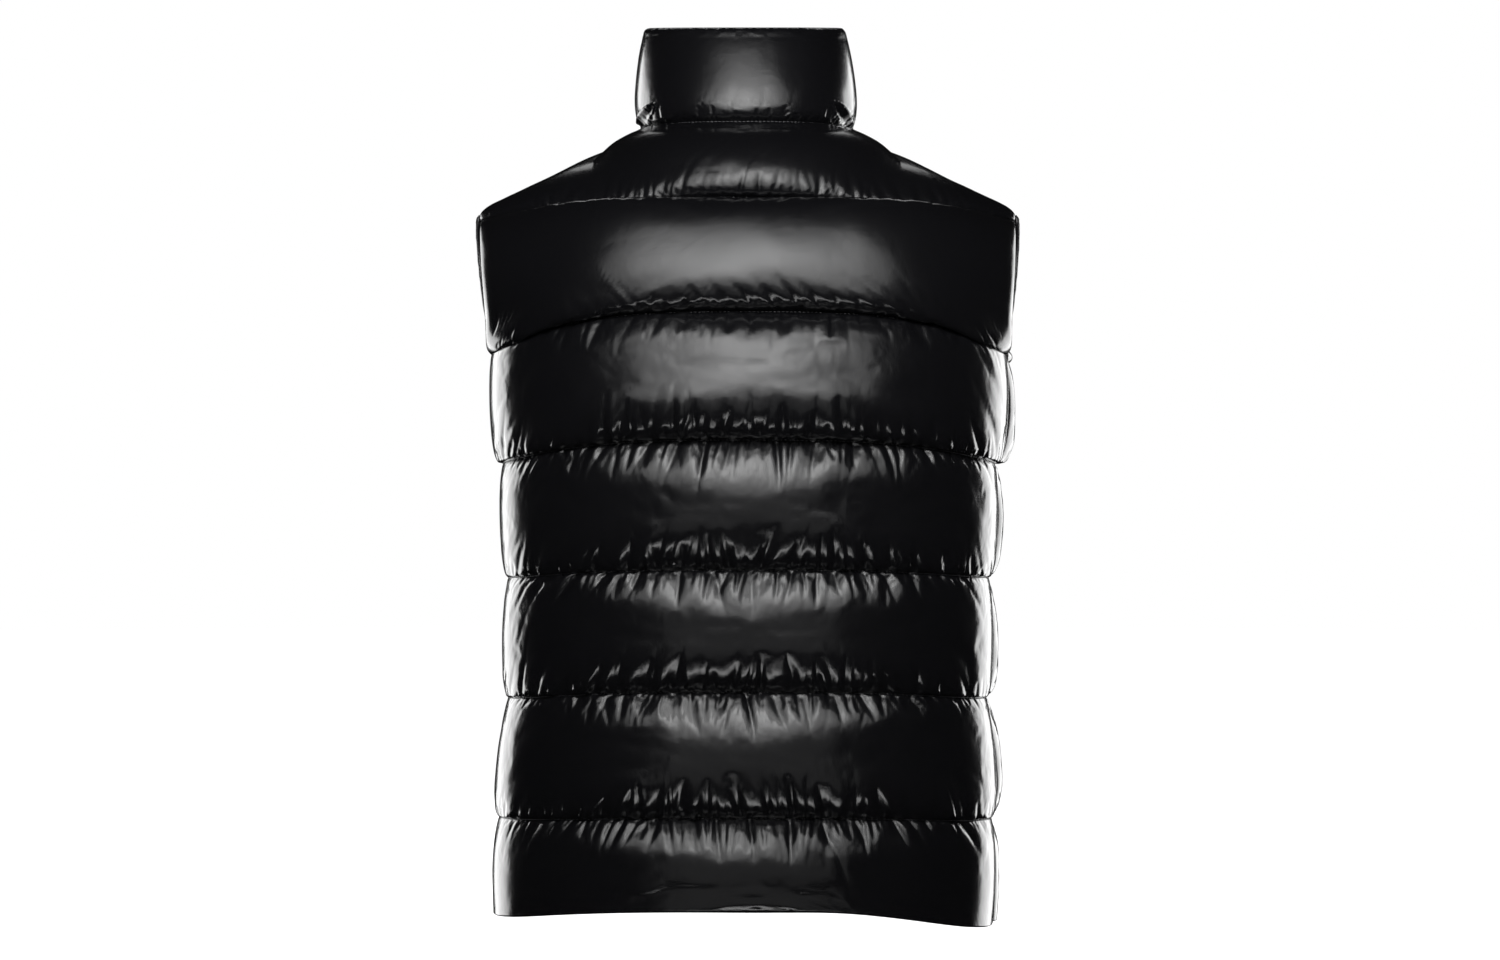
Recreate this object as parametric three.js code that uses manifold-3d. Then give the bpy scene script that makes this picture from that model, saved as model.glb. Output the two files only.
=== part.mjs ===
// Padded vest with a stand collar and a zipped front, in the filled-out shape that it has when worn.
// Millimetres. +Z is up, the front faces -Y and the wearer's left side is +X.
// The origin is between the shoulders, level with the neck points, where the wearer carries the vest.
import * as THREE from "three";
import { mergeVertices } from "three/addons/utils/BufferGeometryUtils.js";
import Module from "manifold-3d";

const wasm = await Module();
wasm.setup();

// Driving dimensions
const skin = 2.5; // half of the wall's thickness on a stitched line
const seamGap = 0.32; // between two sewn pieces
const sideSeamY = -4;
const zipEdge = 9; // the fronts and the collar end this far from the centre line
const sectionPower = 2.5; // squareness of the body's cross-section

// Stitched lines of the body from the hem up. The last one ends on the armholes.
const bodyLines = [
  { line: "hem", sideZ: -681, backZ: -667, frontZ: -685, halfWidth: 208, backY: 113, frontY: -114 },
  { line: "sixth", sideZ: -596, backZ: -589, frontZ: -599, halfWidth: 211, backY: 110, frontY: -118 },
  { line: "fifth", sideZ: -493, backZ: -483, frontZ: -497, halfWidth: 205, backY: 109, frontY: -122 },
  { line: "fourth", sideZ: -389, backZ: -380, frontZ: -393, halfWidth: 206, backY: 115, frontY: -124 },
  { line: "third", sideZ: -290, backZ: -271, frontZ: -294, halfWidth: 211, backY: 123, frontY: -123 },
  { line: "second", sideZ: -191, backZ: -164, frontZ: -196, halfWidth: 218, backY: 120, frontY: -117 },
  { line: "first", sideZ: -92, backZ: -67, frontZ: -112, halfWidth: 224, backY: 99, frontY: -106 },
];
const underarmLevel = 5;
const topLevel = 6;

const armhole = {
  centreY: -4,
  centreZ: -134.5,
  halfHeight: 56.5,
  back: 58,
  front: 72,
  bottomX: 218,
  topX: 230,
  yokeBackDeg: 155,
  shoulderSeamDeg: 212,
  frontLineDeg: 243,
};
const turnDeg = { ring: 90, yoke: 44, frontTop: 50 }; // how far a section turns towards the side

const neck = { halfWidth: 86, centreY: -15, halfDepth: 77, frontDrop: 60, dropFromY: -12, power: 2.15 };
const collarTop = { halfWidth: 80, centreY: -28, halfDepth: 72, backZ: 83, sideRise: 9, frontDrop: 63 };
const shoulderSeamNeckDeg = 103;

// Puff of the channels above the stitched lines
const puff = { back: 22, front: 19, side: 8.5, collar: 9.5, edge: 1.5 };
const topCrown = { back: 12, front: 13, neckCorner: 3.5, shoulder: 7 }; // the same for the channel on top
const puffPower = 2.6;
const edgeRoll = { armhole: 0.09, side: 0.05, zip: 0.12 }; // share of the panel's width that rolls down
const hemShare = 0.88; // the hem and the collar's top cut their channel off before it closes
const collarShare = 0.92;

// Gathers beside each stitched line
const gatherDepth = 1.7;
const gatherUneven = 2.4;

// The vest hangs in a slight curve, and its hem dips on the wearer's right.
const sway = { most: 5, straightZ: -270, reach: 400 };
const hemDip = { most: 9, fromX: 60, overX: 150, fromZ: -570, overZ: 110 };

const columns = { shoulder: 10, backNeck: 20, frontNeck: 8 };
const channelSteps = [0, 0.08, 0.25, 0.5, 0.75, 0.92];
const topSteps = [0, 0.08, 0.22, 0.4, 0.6, 0.8, 0.92, 1];
const collarSteps = [0, 0.08, 0.25, 0.5, 0.75, 0.9, 1];
const channels = Array.from({ length: topLevel }, (_, n) => n);
const bodyLevels = [...channels.flatMap((n) => channelSteps.map((s) => n + s)), topLevel];
const bodyRows = bodyLevels.length;

const binding = { gap: 0.3, width: 4, outside: 5, inside: 4.2, bevel: 1.2 };
const zip = { tapeInner: 2.6, tapeThick: 1.2, chainHalf: 2.1, chainThick: 2.6 };
const slider = { width: 9, height: 12, plate: 1.2, gap: 3.4, post: 3, postHeight: 3, belowTop: 13 };
const bridge = { width: 2.2, bar: 1.2, height: 5, clearance: 1.3 };
const tab = { length: 34, width: 7, thick: 1.3, eyeHalf: 1.6, barHalf: 0.7, eyeEnd: 3.9, corner: 1.8 };

const black = { color: 0x0b0b0c, metalness: 0 };
const shell = new THREE.MeshStandardMaterial({ ...black, roughness: 0.22 });
const bindingCloth = new THREE.MeshStandardMaterial({ ...black, roughness: 0.35 });
const tapeCloth = new THREE.MeshStandardMaterial({ ...black, roughness: 0.75 });
const blackMetal = new THREE.MeshStandardMaterial({ color: 0x1a1a1c, metalness: 0.9, roughness: 0.3 });

// Small maths
const radians = (degrees) => (degrees * Math.PI) / 180;
const mix = (a, b, share) => a + (b - a) * share;
const smooth = (share) => {
  const s = Math.min(1, Math.max(0, share));
  return s * s * (3 - 2 * s);
};
const power = (value, exponent) => Math.sign(value) * Math.abs(value) ** exponent;

// A column of the table of stitched lines at a level between two of them, on a smooth curve.
function lineValue(column, level) {
  const last = bodyLines.length - 1;
  const at = Math.min(last - 1, Math.floor(level));
  const share = level - at;
  const value = (i) => bodyLines[Math.min(last, Math.max(0, i))][column];
  const [p, q, r, s] = [value(at - 1), value(at), value(at + 1), value(at + 2)];
  const slopeIn = (r - p) / 2;
  const slopeOut = (s - q) / 2;
  const bend = share * share * (3 - 2 * share);
  const inPart = share * (1 - share) ** 2;
  const outPart = share * share * (share - 1);
  return mix(q, r, bend) + slopeIn * inPart + slopeOut * outPart;
}

// The armhole's edge: 0 degrees at the underarm, 90 at the back and 180 on the shoulder.
function armholePoint(degrees) {
  const a = radians(degrees);
  const reach = Math.sin(a) > 0 ? armhole.back : armhole.front;
  const up = (1 - Math.cos(a)) / 2;
  return new THREE.Vector3(
    mix(armhole.bottomX, armhole.topX, up),
    armhole.centreY + reach * Math.sin(a),
    armhole.centreZ - armhole.halfHeight * Math.cos(a),
  );
}

// The neck seam and the collar's top edge: 0 degrees at the centre back and 180 at the centre front.
function neckPoint(degrees) {
  const a = radians(degrees);
  const y = neck.centreY + neck.halfDepth * power(Math.cos(a), 2 / neck.power);
  const drop = Math.max(0, (neck.dropFromY - y) / (neck.dropFromY - neck.centreY + neck.halfDepth));
  return new THREE.Vector3(
    neck.halfWidth * power(Math.sin(a), 2 / neck.power),
    y,
    -neck.frontDrop * drop ** 1.7,
  );
}

// The collar's top edge rises from the centre back to the sides and drops from there to the zip.
function collarTopPoint(degrees) {
  const a = radians(degrees);
  const forward = -power(Math.cos(a), 2 / neck.power);
  const rise = collarTop.sideRise * Math.min(1, 1 + forward);
  const drop = collarTop.frontDrop * Math.max(0, forward) ** 1.3;
  return new THREE.Vector3(
    collarTop.halfWidth * power(Math.sin(a), 2 / neck.power),
    collarTop.centreY - collarTop.halfDepth * forward,
    collarTop.backZ + rise - drop,
  );
}

// count + 1 points at equal steps along a line of many points.
function evenly(line, count) {
  const along = [0];
  for (let i = 1; i < line.length; i++) along.push(along[i - 1] + line[i].distanceTo(line[i - 1]));
  const total = along[along.length - 1];
  let i = 0;
  return Array.from({ length: count + 1 }, (_, n) => {
    const target = (total * n) / count;
    while (i < line.length - 2 && along[i + 1] < target) i++;
    const share = (target - along[i]) / (along[i + 1] - along[i]);
    return line[i].clone().lerp(line[i + 1], Math.min(1, Math.max(0, share)));
  });
}

const dense = (from, to, pointAt) =>
  Array.from({ length: 161 }, (_, i) => pointAt(mix(from, to, i / 160)));

// One row across the back or a front, from the side at one end to the other side or the zip.
function sectionRow(level, isBack, count) {
  const share = Math.max(0, level - underarmLevel);
  const armholeEnd = isBack ? armhole.yokeBackDeg : armhole.frontLineDeg - 360;
  const turn = mix(turnDeg.ring, isBack ? turnDeg.yoke : turnDeg.frontTop, smooth(share));
  const edge =
    level > underarmLevel
      ? armholePoint(share * armholeEnd)
      : new THREE.Vector3(lineValue("halfWidth", level), sideSeamY, lineValue("sideZ", level));
  const centreY = lineValue(isBack ? "backY" : "frontY", level);
  const centreZ = lineValue(isBack ? "backZ" : "frontZ", level);
  const startX = isBack ? 0 : zipEdge;
  const exponent = 2 / sectionPower;
  const sideways = power(Math.sin(radians(turn)), exponent);
  const closing = power(Math.max(0, Math.cos(radians(turn))), exponent);
  const pointAt = (degrees) => {
    const across = power(Math.sin(radians(degrees)), exponent) / sideways;
    const deep = (power(Math.max(0, Math.cos(radians(degrees))), exponent) - closing) / (1 - closing);
    return new THREE.Vector3(
      isBack ? edge.x * across : mix(startX, edge.x, across),
      mix(edge.y, centreY, deep),
      mix(edge.z, centreZ, 1 - Math.abs(across) ** 3),
    );
  };
  return evenly(dense(isBack ? -turn : 0, turn, pointAt), count);
}

// A column of the yoke or a front's top: a curve with given directions at its two ends.
function bridgeCurve(start, end, startWay, endWay, share) {
  const reach = start.distanceTo(end);
  const s = share;
  return start
    .clone()
    .multiplyScalar(2 * s ** 3 - 3 * s ** 2 + 1)
    .addScaledVector(startWay, (s ** 3 - 2 * s ** 2 + s) * reach)
    .addScaledVector(end, -2 * s ** 3 + 3 * s ** 2)
    .addScaledVector(endWay, (s ** 3 - s ** 2) * reach);
}

// The shoulder seam from the armhole to the neck, on the wearer's left.
function shoulderSeam() {
  const outer = armholePoint(armhole.shoulderSeamDeg);
  const inner = neckPoint(shoulderSeamNeckDeg);
  return evenly([outer, inner], columns.shoulder);
}
const neckArc = (from, to, count, pointAt = neckPoint) => evenly(dense(from, to, pointAt), count);
const mirrored = (points) => points.map((p) => new THREE.Vector3(-p.x, p.y, p.z)).reverse();
const zipDeg = 180 - 5.2; // where the neck seam meets the zip

// The direction in which a top patch meets the shoulder or neck seam.
function arrivalWay(point, onNeck, isBack) {
  const inward = new THREE.Vector3(-point.x, neck.centreY - point.y, 0).normalize();
  const sideways = Math.abs(point.x) / neck.halfWidth;
  const atNeck = inward.multiplyScalar(mix(0.6, 1, sideways)).add(
    new THREE.Vector3(0, 0, mix(0.75, 0.35, sideways)),
  );
  const atShoulder = new THREE.Vector3(0, isBack ? -1.1 : 0.8, isBack ? -0.1 : 0.75);
  return atShoulder.lerp(atNeck, onNeck);
}

// Rows from the first stitched line up to the shoulder and neck seams.
function topPatch(below, first, upper, onNeckAt, isBack, edges) {
  const curveAt = (i, share) => {
    const startWay = first[i].clone().sub(below[i]).normalize().multiplyScalar(isBack ? 1.15 : 1);
    return bridgeCurve(first[i], upper[i], startWay, arrivalWay(upper[i], onNeckAt(i), isBack), share);
  };
  return topSteps.slice(1).map((share) =>
    first.map((_, i) => {
      const point = curveAt(i, share);
      edges.forEach(({ column, pointAt }) => {
        const nearness = smooth(1 - Math.abs(i - column) / 4);
        if (nearness > 0) point.addScaledVector(pointAt(share).sub(curveAt(column, share)), nearness);
      });
      return point;
    }),
  );
}

// The sideways sway of the whole vest and the dip of its hem
function drape(point) {
  const bend = ((point.z - sway.straightZ) / sway.reach) ** 2;
  const dip =
    smooth((-point.x - hemDip.fromX) / hemDip.overX) * smooth((hemDip.fromZ - point.z) / hemDip.overZ);
  point.x += sway.most * bend;
  point.z -= hemDip.most * dip;
  return point;
}

function backGrids() {
  const count = 2 * columns.shoulder + columns.backNeck;
  const panel = bodyLevels.map((level) => sectionRow(level, true, count));
  const left = shoulderSeam();
  const upper = [
    ...mirrored(left).reverse(),
    ...neckArc(-shoulderSeamNeckDeg, shoulderSeamNeckDeg, columns.backNeck).slice(1, -1),
    ...left.slice().reverse(),
  ];
  const onNeckAt = (i) => smooth((Math.min(i, count - i) - columns.shoulder + 5) / 7);
  const edgeAt = (side) => (share) => {
    const p = armholePoint(mix(armhole.yokeBackDeg, armhole.shoulderSeamDeg, share));
    return new THREE.Vector3(side * p.x, p.y, p.z);
  };
  const last = panel.length - 1;
  const yoke = [
    panel[last].map((p) => p.clone()),
    ...topPatch(panel[last - 1], panel[last], upper, onNeckAt, true, [
      { column: 0, pointAt: edgeAt(-1) },
      { column: count, pointAt: edgeAt(1) },
    ]),
  ];
  yoke[yoke.length - 1] = upper;
  return { panel, yoke };
}

// The wearer's left front, from the zip at column 0 to the side seam and the armhole.
function frontGrid() {
  const count = columns.frontNeck + columns.shoulder;
  const rows = bodyLevels.map((level) => sectionRow(level, false, count));
  const upper = [
    ...neckArc(zipDeg, shoulderSeamNeckDeg, columns.frontNeck),
    ...shoulderSeam().reverse().slice(1),
  ];
  const onNeckAt = (i) => smooth((columns.frontNeck + 5 - i) / 7);
  const last = rows.length - 1;
  rows.push(
    ...topPatch(rows[last - 1], rows[last], upper, onNeckAt, false, [
      {
        column: count,
        pointAt: (share) => armholePoint(mix(armhole.frontLineDeg, armhole.shoulderSeamDeg, share)),
      },
    ]),
  );
  rows[rows.length - 1] = upper;
  rows.forEach((row) => (row[0].x = zipEdge));
  return rows;
}

function collarGrid() {
  const turns = [
    [zipDeg, shoulderSeamNeckDeg, columns.frontNeck],
    [shoulderSeamNeckDeg, -shoulderSeamNeckDeg, columns.backNeck],
    [-shoulderSeamNeckDeg, -zipDeg, columns.frontNeck],
  ];
  const ring = (pointAt) => turns.flatMap(([a, b, n], i) => neckArc(a, b, n, pointAt).slice(i ? 1 : 0));
  const bottom = ring(neckPoint);
  const top = ring(collarTopPoint);
  const grid = collarSteps.map((share) => bottom.map((p, i) => p.clone().lerp(top[i], share)));
  grid.forEach((row) => {
    row[0].x = zipEdge;
    row[row.length - 1].x = -zipEdge;
  });
  return grid;
}

// Outward directions, shared by the pieces that meet at a seam.
function sharedNormals(grids) {
  const spots = [];
  const spotAt = (p) => spots.find((spot) => spot.point.distanceToSquared(p) < 1e-4);
  grids.flat(2).forEach((p) => {
    if (!spotAt(p)) spots.push({ point: p, normal: new THREE.Vector3() });
  });
  grids.forEach((grid) => {
    for (let r = 0; r + 1 < grid.length; r++)
      for (let c = 0; c + 1 < grid[r].length; c++) {
        const corners = [grid[r][c], grid[r][c + 1], grid[r + 1][c + 1], grid[r + 1][c]];
        const across = corners[2].clone().sub(corners[0]);
        const facing = across.cross(corners[3].clone().sub(corners[1]));
        corners.forEach((p) => spotAt(p).normal.add(facing));
      }
  });
  return (p) => spotAt(p).normal.clone().normalize();
}

// The rise of a channel between its two stitched lines, 0 on each and 1 at the crown.
const channelRise = (share) => Math.sqrt(Math.max(0, 1 - Math.abs(2 * share - 1) ** puffPower));

// A round roll from 0 at a panel's edge up to 1.
const rollUp = (distance, reach) => Math.sqrt(Math.max(0, 1 - Math.max(0, 1 - distance / reach) ** 2));

// Ridges and troughs beside a stitched line, by turns along the columns.
function gather(share, column, level) {
  const nearness = Math.max(0, 1 - Math.abs(Math.min(share, 1 - share) - 0.1) / 0.2);
  const unevenness = 0.65 + 0.35 * Math.sin(column * gatherUneven + level * 1.7);
  return gatherDepth * nearness * (column % 2 ? 1 : -1) * unevenness;
}

function bodyPuff(level, column, count, isBack) {
  const channel = Math.min(Math.floor(level), topLevel);
  let share = level - channel;
  if (channel === 0) share = 1 - (1 - share) * hemShare;
  if (level === topLevel) share = 0;
  const across = isBack ? Math.abs(2 * (column / count) - 1) : column / count;
  const crown = isBack ? puff.back : puff.front;
  const amount = mix(crown, puff.side, smooth((across - 0.35) / 0.55));
  const roll = level >= underarmLevel ? edgeRoll.armhole : edgeRoll.side;
  const outer = rollUp(1 - across, roll);
  const zipSide = isBack ? 1 : rollUp(across, edgeRoll.zip);
  const rise = channelRise(share) * amount * outer * zipSide;
  const pleat = share > 0 && share < 1 && outer === 1 && zipSide === 1 ? gather(share, column, channel) : 0;
  return rise + pleat + (1 - outer * zipSide) * puff.edge;
}

// The top channel is flattest where the shoulder seam meets the neck.
function topAmount(across, isBack) {
  const corner = isBack ? 0.5 : columns.frontNeck / (columns.frontNeck + columns.shoulder);
  const crown = isBack ? topCrown.back : topCrown.front;
  if (across < corner) return mix(crown, topCrown.neckCorner, smooth(across / corner));
  return mix(topCrown.neckCorner, topCrown.shoulder, smooth((across - corner) / (1 - corner) / 0.6));
}

function topPuff(share, column, count, isBack) {
  const across = isBack ? Math.abs(2 * (column / count) - 1) : column / count;
  const amount = topAmount(across, isBack);
  const outer = rollUp(1 - across, edgeRoll.armhole);
  const zipSide = isBack ? 1 : rollUp(across, edgeRoll.zip);
  const pleat = share > 0 && share < 0.3 && outer * zipSide === 1 ? gather(share, column, topLevel) : 0;
  const rise = share < 0.5 ? channelRise(share) : Math.sin(Math.PI * share) ** 1.15;
  return rise * amount * outer * zipSide + pleat + (1 - outer * zipSide) * puff.edge;
}

function collarPuff(share, column, count) {
  const across = column / count;
  const ends = rollUp(Math.min(across, 1 - across), edgeRoll.zip / 2.5);
  const rise = share < 0.5 ? Math.sin(Math.PI * share) ** 0.8 : channelRise(share * collarShare);
  return rise * puff.collar * ends + (1 - ends) * puff.edge;
}

const steps = (count) => Array.from({ length: count }, (_, i) => i);

// A closed wall from an outer grid and an inner one that has only the kept rows and columns.
function wallGeometry(outer, inner, keptRows = steps(outer.length), keptColumns = steps(outer[0].length)) {
  const points = [];
  const put = (grid) => grid.map((row) => row.map((p) => points.push(p) - 1));
  const [o, i] = [put(outer), put(inner)];
  const faces = [];
  const fill = (g, flip) => {
    for (let r = 0; r + 1 < g.length; r++)
      for (let c = 0; c + 1 < g[r].length; c++) {
        const quad = [g[r][c], g[r][c + 1], g[r + 1][c + 1], g[r + 1][c]];
        if (flip) quad.reverse();
        faces.push([quad[0], quad[1], quad[2]], [quad[0], quad[2], quad[3]]);
      }
  };
  const joinSide = (a, b, kept, flip) => {
    let [x, y] = [0, 0];
    const add = (face) => faces.push(flip ? face : face.reverse());
    while (x < a.length - 1 || y < b.length - 1) {
      const outerNext = y === b.length - 1 || x + 1 <= (kept[y] + kept[y + 1]) / 2;
      add(outerNext ? [a[x], a[x + 1], b[y]] : [b[y + 1], b[y], a[x]]);
      if (outerNext) x++;
      else y++;
    }
  };
  const lastOf = (g) => g.map((row) => row[row.length - 1]);
  const firstOf = (g) => g.map((row) => row[0]);
  fill(o, false);
  fill(i, true);
  joinSide(o[0], i[0], keptColumns, false);
  joinSide(lastOf(o), lastOf(i), keptRows, false);
  joinSide(o[o.length - 1], i[i.length - 1], keptColumns, true);
  joinSide(firstOf(o), firstOf(i), keptRows, true);
  return closedGeometry(points, faces);
}

// A ring of sections, each a closed loop of points. Its faces are split the other way from one on.
function ringGeometry(sections, turnedFrom) {
  const sides = sections[0].length;
  const faces = [];
  sections.forEach((_, s) => {
    const next = (s + 1) % sections.length;
    for (let k = 0; k < sides; k++) {
      const m = (k + 1) % sides;
      const [a, b, c, d] = [s * sides + k, s * sides + m, next * sides + m, next * sides + k];
      faces.push(...(s < turnedFrom ? [[a, b, c], [a, c, d]] : [[a, b, d], [b, c, d]]));
    }
  });
  return closedGeometry(sections.flat(), faces);
}

function closedGeometry(points, faces) {
  const volume = faces.reduce(
    (sum, [a, b, c]) => sum + points[a].dot(points[b].clone().cross(points[c])),
    0,
  );
  const index = (volume < 0 ? faces.map((f) => [f[0], f[2], f[1]]) : faces).flat();
  const geometry = new THREE.BufferGeometry();
  geometry.setAttribute("position", new THREE.Float32BufferAttribute(points.flatMap((p) => p.toArray()), 3));
  geometry.setIndex(index);
  geometry.computeVertexNormals();
  return geometry;
}

// Draws a piece's seamed edges back by half a gap, square to each edge.
function drawnBack(grid, edges) {
  const [lastRow, lastColumn] = [grid.length - 1, grid[0].length - 1];
  const moved = grid.map((row) => row.map((p) => p.clone()));
  const clamped = (r, c) => grid[Math.min(lastRow, Math.max(0, r))][Math.min(lastColumn, Math.max(0, c))];
  const pull = (r, c, stepR, stepC) => {
    const along = clamped(r + stepC, c + stepR).clone().sub(clamped(r - stepC, c - stepR)).normalize();
    const way = clamped(r + stepR, c + stepC).clone().sub(grid[r][c]);
    way.addScaledVector(along, -way.dot(along)).normalize();
    moved[r][c].addScaledVector(way, seamGap / 2);
  };
  grid.forEach((_, r) => {
    if (edges.start) pull(r, 0, 0, 1);
    if (edges.end) pull(r, lastColumn, 0, -1);
  });
  grid[0].forEach((_, c) => {
    if (edges.bottom) pull(0, c, 1, 0);
    if (edges.top) pull(lastRow, c, -1, 0);
  });
  return moved;
}

// A padded wall over a grid. Its inner side is plain, with every second column and the kept rows.
function walled(grid, normalOf, puffAt, edges, rowKept) {
  const normals = grid.map((row) => row.map(normalOf));
  edges.zip?.forEach((c) =>
    normals.forEach((row) => {
      row.at(c).x = 0;
      row.at(c).normalize();
    }),
  );
  const base = drawnBack(grid, edges);
  const offset = (amountAt) =>
    base.map((row, r) => row.map((p, c) => p.clone().addScaledVector(normals[r][c], amountAt(r, c))));
  const keptRows = steps(grid.length).filter((r) => r === 0 || r === grid.length - 1 || rowKept(r));
  const keptColumns = steps(grid[0].length).filter((c) => c % 2 === 0);
  const plain = offset(() => -skin);
  const inner = keptRows.map((r) => keptColumns.map((c) => plain[r][c]));
  return wallGeometry(offset((r, c) => skin + puffAt(r, c)), inner, keptRows, keptColumns);
}

const group = new THREE.Group();
function addMesh(name, geometry, material) {
  const mesh = new THREE.Mesh(geometry, material);
  mesh.name = name;
  group.add(mesh);
  return mesh;
}

// Body, yoke, fronts and collar
const backs = backGrids();
const leftFront = frontGrid();
const rightFront = leftFront.map((row) => mirrored(row));
const collar = collarGrid();
const grids = [backs.panel, backs.yoke, leftFront, rightFront, collar];
grids.forEach((grid) => grid.forEach((row) => row.forEach(drape)));
const backward = (grid) => grid.map((row) => row.slice().reverse());
const normalOf = sharedNormals([backward(backs.panel), backward(backs.yoke), leftFront, rightFront, collar]);

const backCount = 2 * columns.shoulder + columns.backNeck;
const frontCount = columns.frontNeck + columns.shoulder;
const armholeRow = underarmLevel * channelSteps.length;
const seamOrMiddle = (r) => r > armholeRow || r % (channelSteps.length / 2) === 0;

const frontPuff = (fromZip) => (r, c) =>
  r < bodyRows
    ? bodyPuff(bodyLevels[r], fromZip(c), frontCount, false)
    : topPuff(topSteps[r - bodyRows + 1], fromZip(c), frontCount, false);

addMesh(
  "back_panel",
  walled(
    backs.panel,
    normalOf,
    (r, c) => bodyPuff(bodyLevels[r], c, backCount, true),
    { start: true, end: true, top: true },
    seamOrMiddle,
  ),
  shell,
);
addMesh(
  "back_yoke",
  walled(
    backs.yoke,
    normalOf,
    (r, c) => topPuff(topSteps[r], c, backCount, true),
    { bottom: true, top: true },
    () => true,
  ),
  shell,
);
addMesh(
  "front_left",
  walled(leftFront, normalOf, frontPuff((c) => c), { end: true, top: true, zip: [0] }, seamOrMiddle),
  shell,
);
addMesh(
  "front_right",
  walled(
    rightFront,
    normalOf,
    frontPuff((c) => frontCount - c),
    { start: true, top: true, zip: [-1] },
    seamOrMiddle,
  ),
  shell,
);
addMesh(
  "collar",
  walled(
    collar,
    normalOf,
    (r, c) => collarPuff(collarSteps[r], c, collar[0].length - 1),
    { bottom: true, zip: [0, -1] },
    (r) => r % 2 === 0,
  ),
  shell,
);

// Binding round each armhole, outside the edge of the panels
function armholeEdge(side) {
  const at = (grid) => grid.map((row) => (side > 0 ? row[row.length - 1] : row[0]));
  const front = side > 0 ? leftFront : rightFront;
  return [
    ...at(backs.panel).slice(armholeRow),
    ...at(backs.yoke).slice(1),
    ...at(front).slice(armholeRow + 1, -1).reverse(),
  ];
}

function bindingGeometry(side) {
  const edge = armholeEdge(side);
  const outline = [
    [0, -binding.inside],
    [binding.width - binding.bevel, -binding.inside],
    [binding.width, binding.bevel - binding.inside],
    [binding.width, binding.outside - binding.bevel],
    [binding.width - binding.bevel, binding.outside],
    [0, binding.outside],
  ];
  const sections = edge.map((p, i) => {
    const before = edge[(i + edge.length - 1) % edge.length];
    const after = edge[(i + 1) % edge.length];
    const along = after.clone().sub(before).normalize();
    const normal = normalOf(p);
    const out = along.cross(normal).multiplyScalar(-side).normalize();
    return outline.map(([away, up]) =>
      p.clone().addScaledVector(out, binding.gap + away).addScaledVector(normal, up),
    );
  });
  return ringGeometry(sections, bodyRows - armholeRow + backs.yoke.length - 2);
}
addMesh("armhole_binding_left", bindingGeometry(1), bindingCloth);
addMesh("armhole_binding_right", bindingGeometry(-1), bindingCloth);

// Zip: two tapes and the closed chain, along the centre front from the hem to the collar's top
const centreFront = [...leftFront.map((row) => row[0]), ...collar.slice(1).map((row) => row[0])].map(
  (p) => new THREE.Vector3(p.x - zipEdge, p.y, p.z),
);
const stopBelow = centreFront.at(-1).clone().lerp(centreFront.at(-2), 0.2);
const zipLine = [...centreFront.slice(0, -1), stopBelow];

function zipStrip(line, fromX, toX, thick) {
  const widths = [fromX, toX];
  const ways = line.map((_, i) => {
    const before = line[Math.max(0, i - 1)];
    const after = line[Math.min(line.length - 1, i + 1)];
    const along = after.clone().sub(before);
    return new THREE.Vector3(0, -along.z, along.y).normalize();
  });
  const layer = (amount) =>
    line.map((p, i) =>
      widths.map((x) => new THREE.Vector3(p.x + x, p.y, p.z).addScaledVector(ways[i], amount)),
    );
  return wallGeometry(layer(thick / 2), layer(-thick / 2));
}
const tapeOuter = zipEdge - 0.4;
addMesh("zip_tape_left", zipStrip(zipLine, zip.tapeInner, tapeOuter, zip.tapeThick), tapeCloth);
addMesh("zip_tape_right", zipStrip(zipLine, -tapeOuter, -zip.tapeInner, zip.tapeThick), tapeCloth);

// The slider stands near the collar's top, with its post above the end of the chain.
const sliderAt = (() => {
  const top = zipLine.at(-1);
  const next = zipLine.at(-2);
  const way = next.clone().sub(top).normalize();
  return { way, centre: top.clone().addScaledVector(way, slider.belowTop) };
})();
const chainTop = sliderAt.centre.clone();
const chainLine = [...zipLine.filter((p) => p.z < chainTop.z - 2), chainTop];
addMesh("zip_chain", zipStrip(chainLine, -zip.chainHalf, zip.chainHalf, zip.chainThick), blackMetal);

function solidOf(geometry) {
  const bare = geometry.index ? geometry.toNonIndexed() : geometry.clone();
  bare.deleteAttribute("normal");
  bare.deleteAttribute("uv");
  const merged = mergeVertices(bare, 1e-4);
  return new wasm.Manifold(
    new wasm.Mesh({
      numProp: 3,
      vertProperties: merged.attributes.position.array,
      triVerts: new Uint32Array(merged.index.array),
    }),
  );
}

function geometryOf(solid) {
  const mesh = solid.getMesh();
  const geometry = new THREE.BufferGeometry();
  geometry.setAttribute("position", new THREE.BufferAttribute(mesh.vertProperties, 3));
  geometry.setIndex(new THREE.BufferAttribute(mesh.triVerts, 1));
  geometry.computeVertexNormals();
  return geometry;
}

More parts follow.
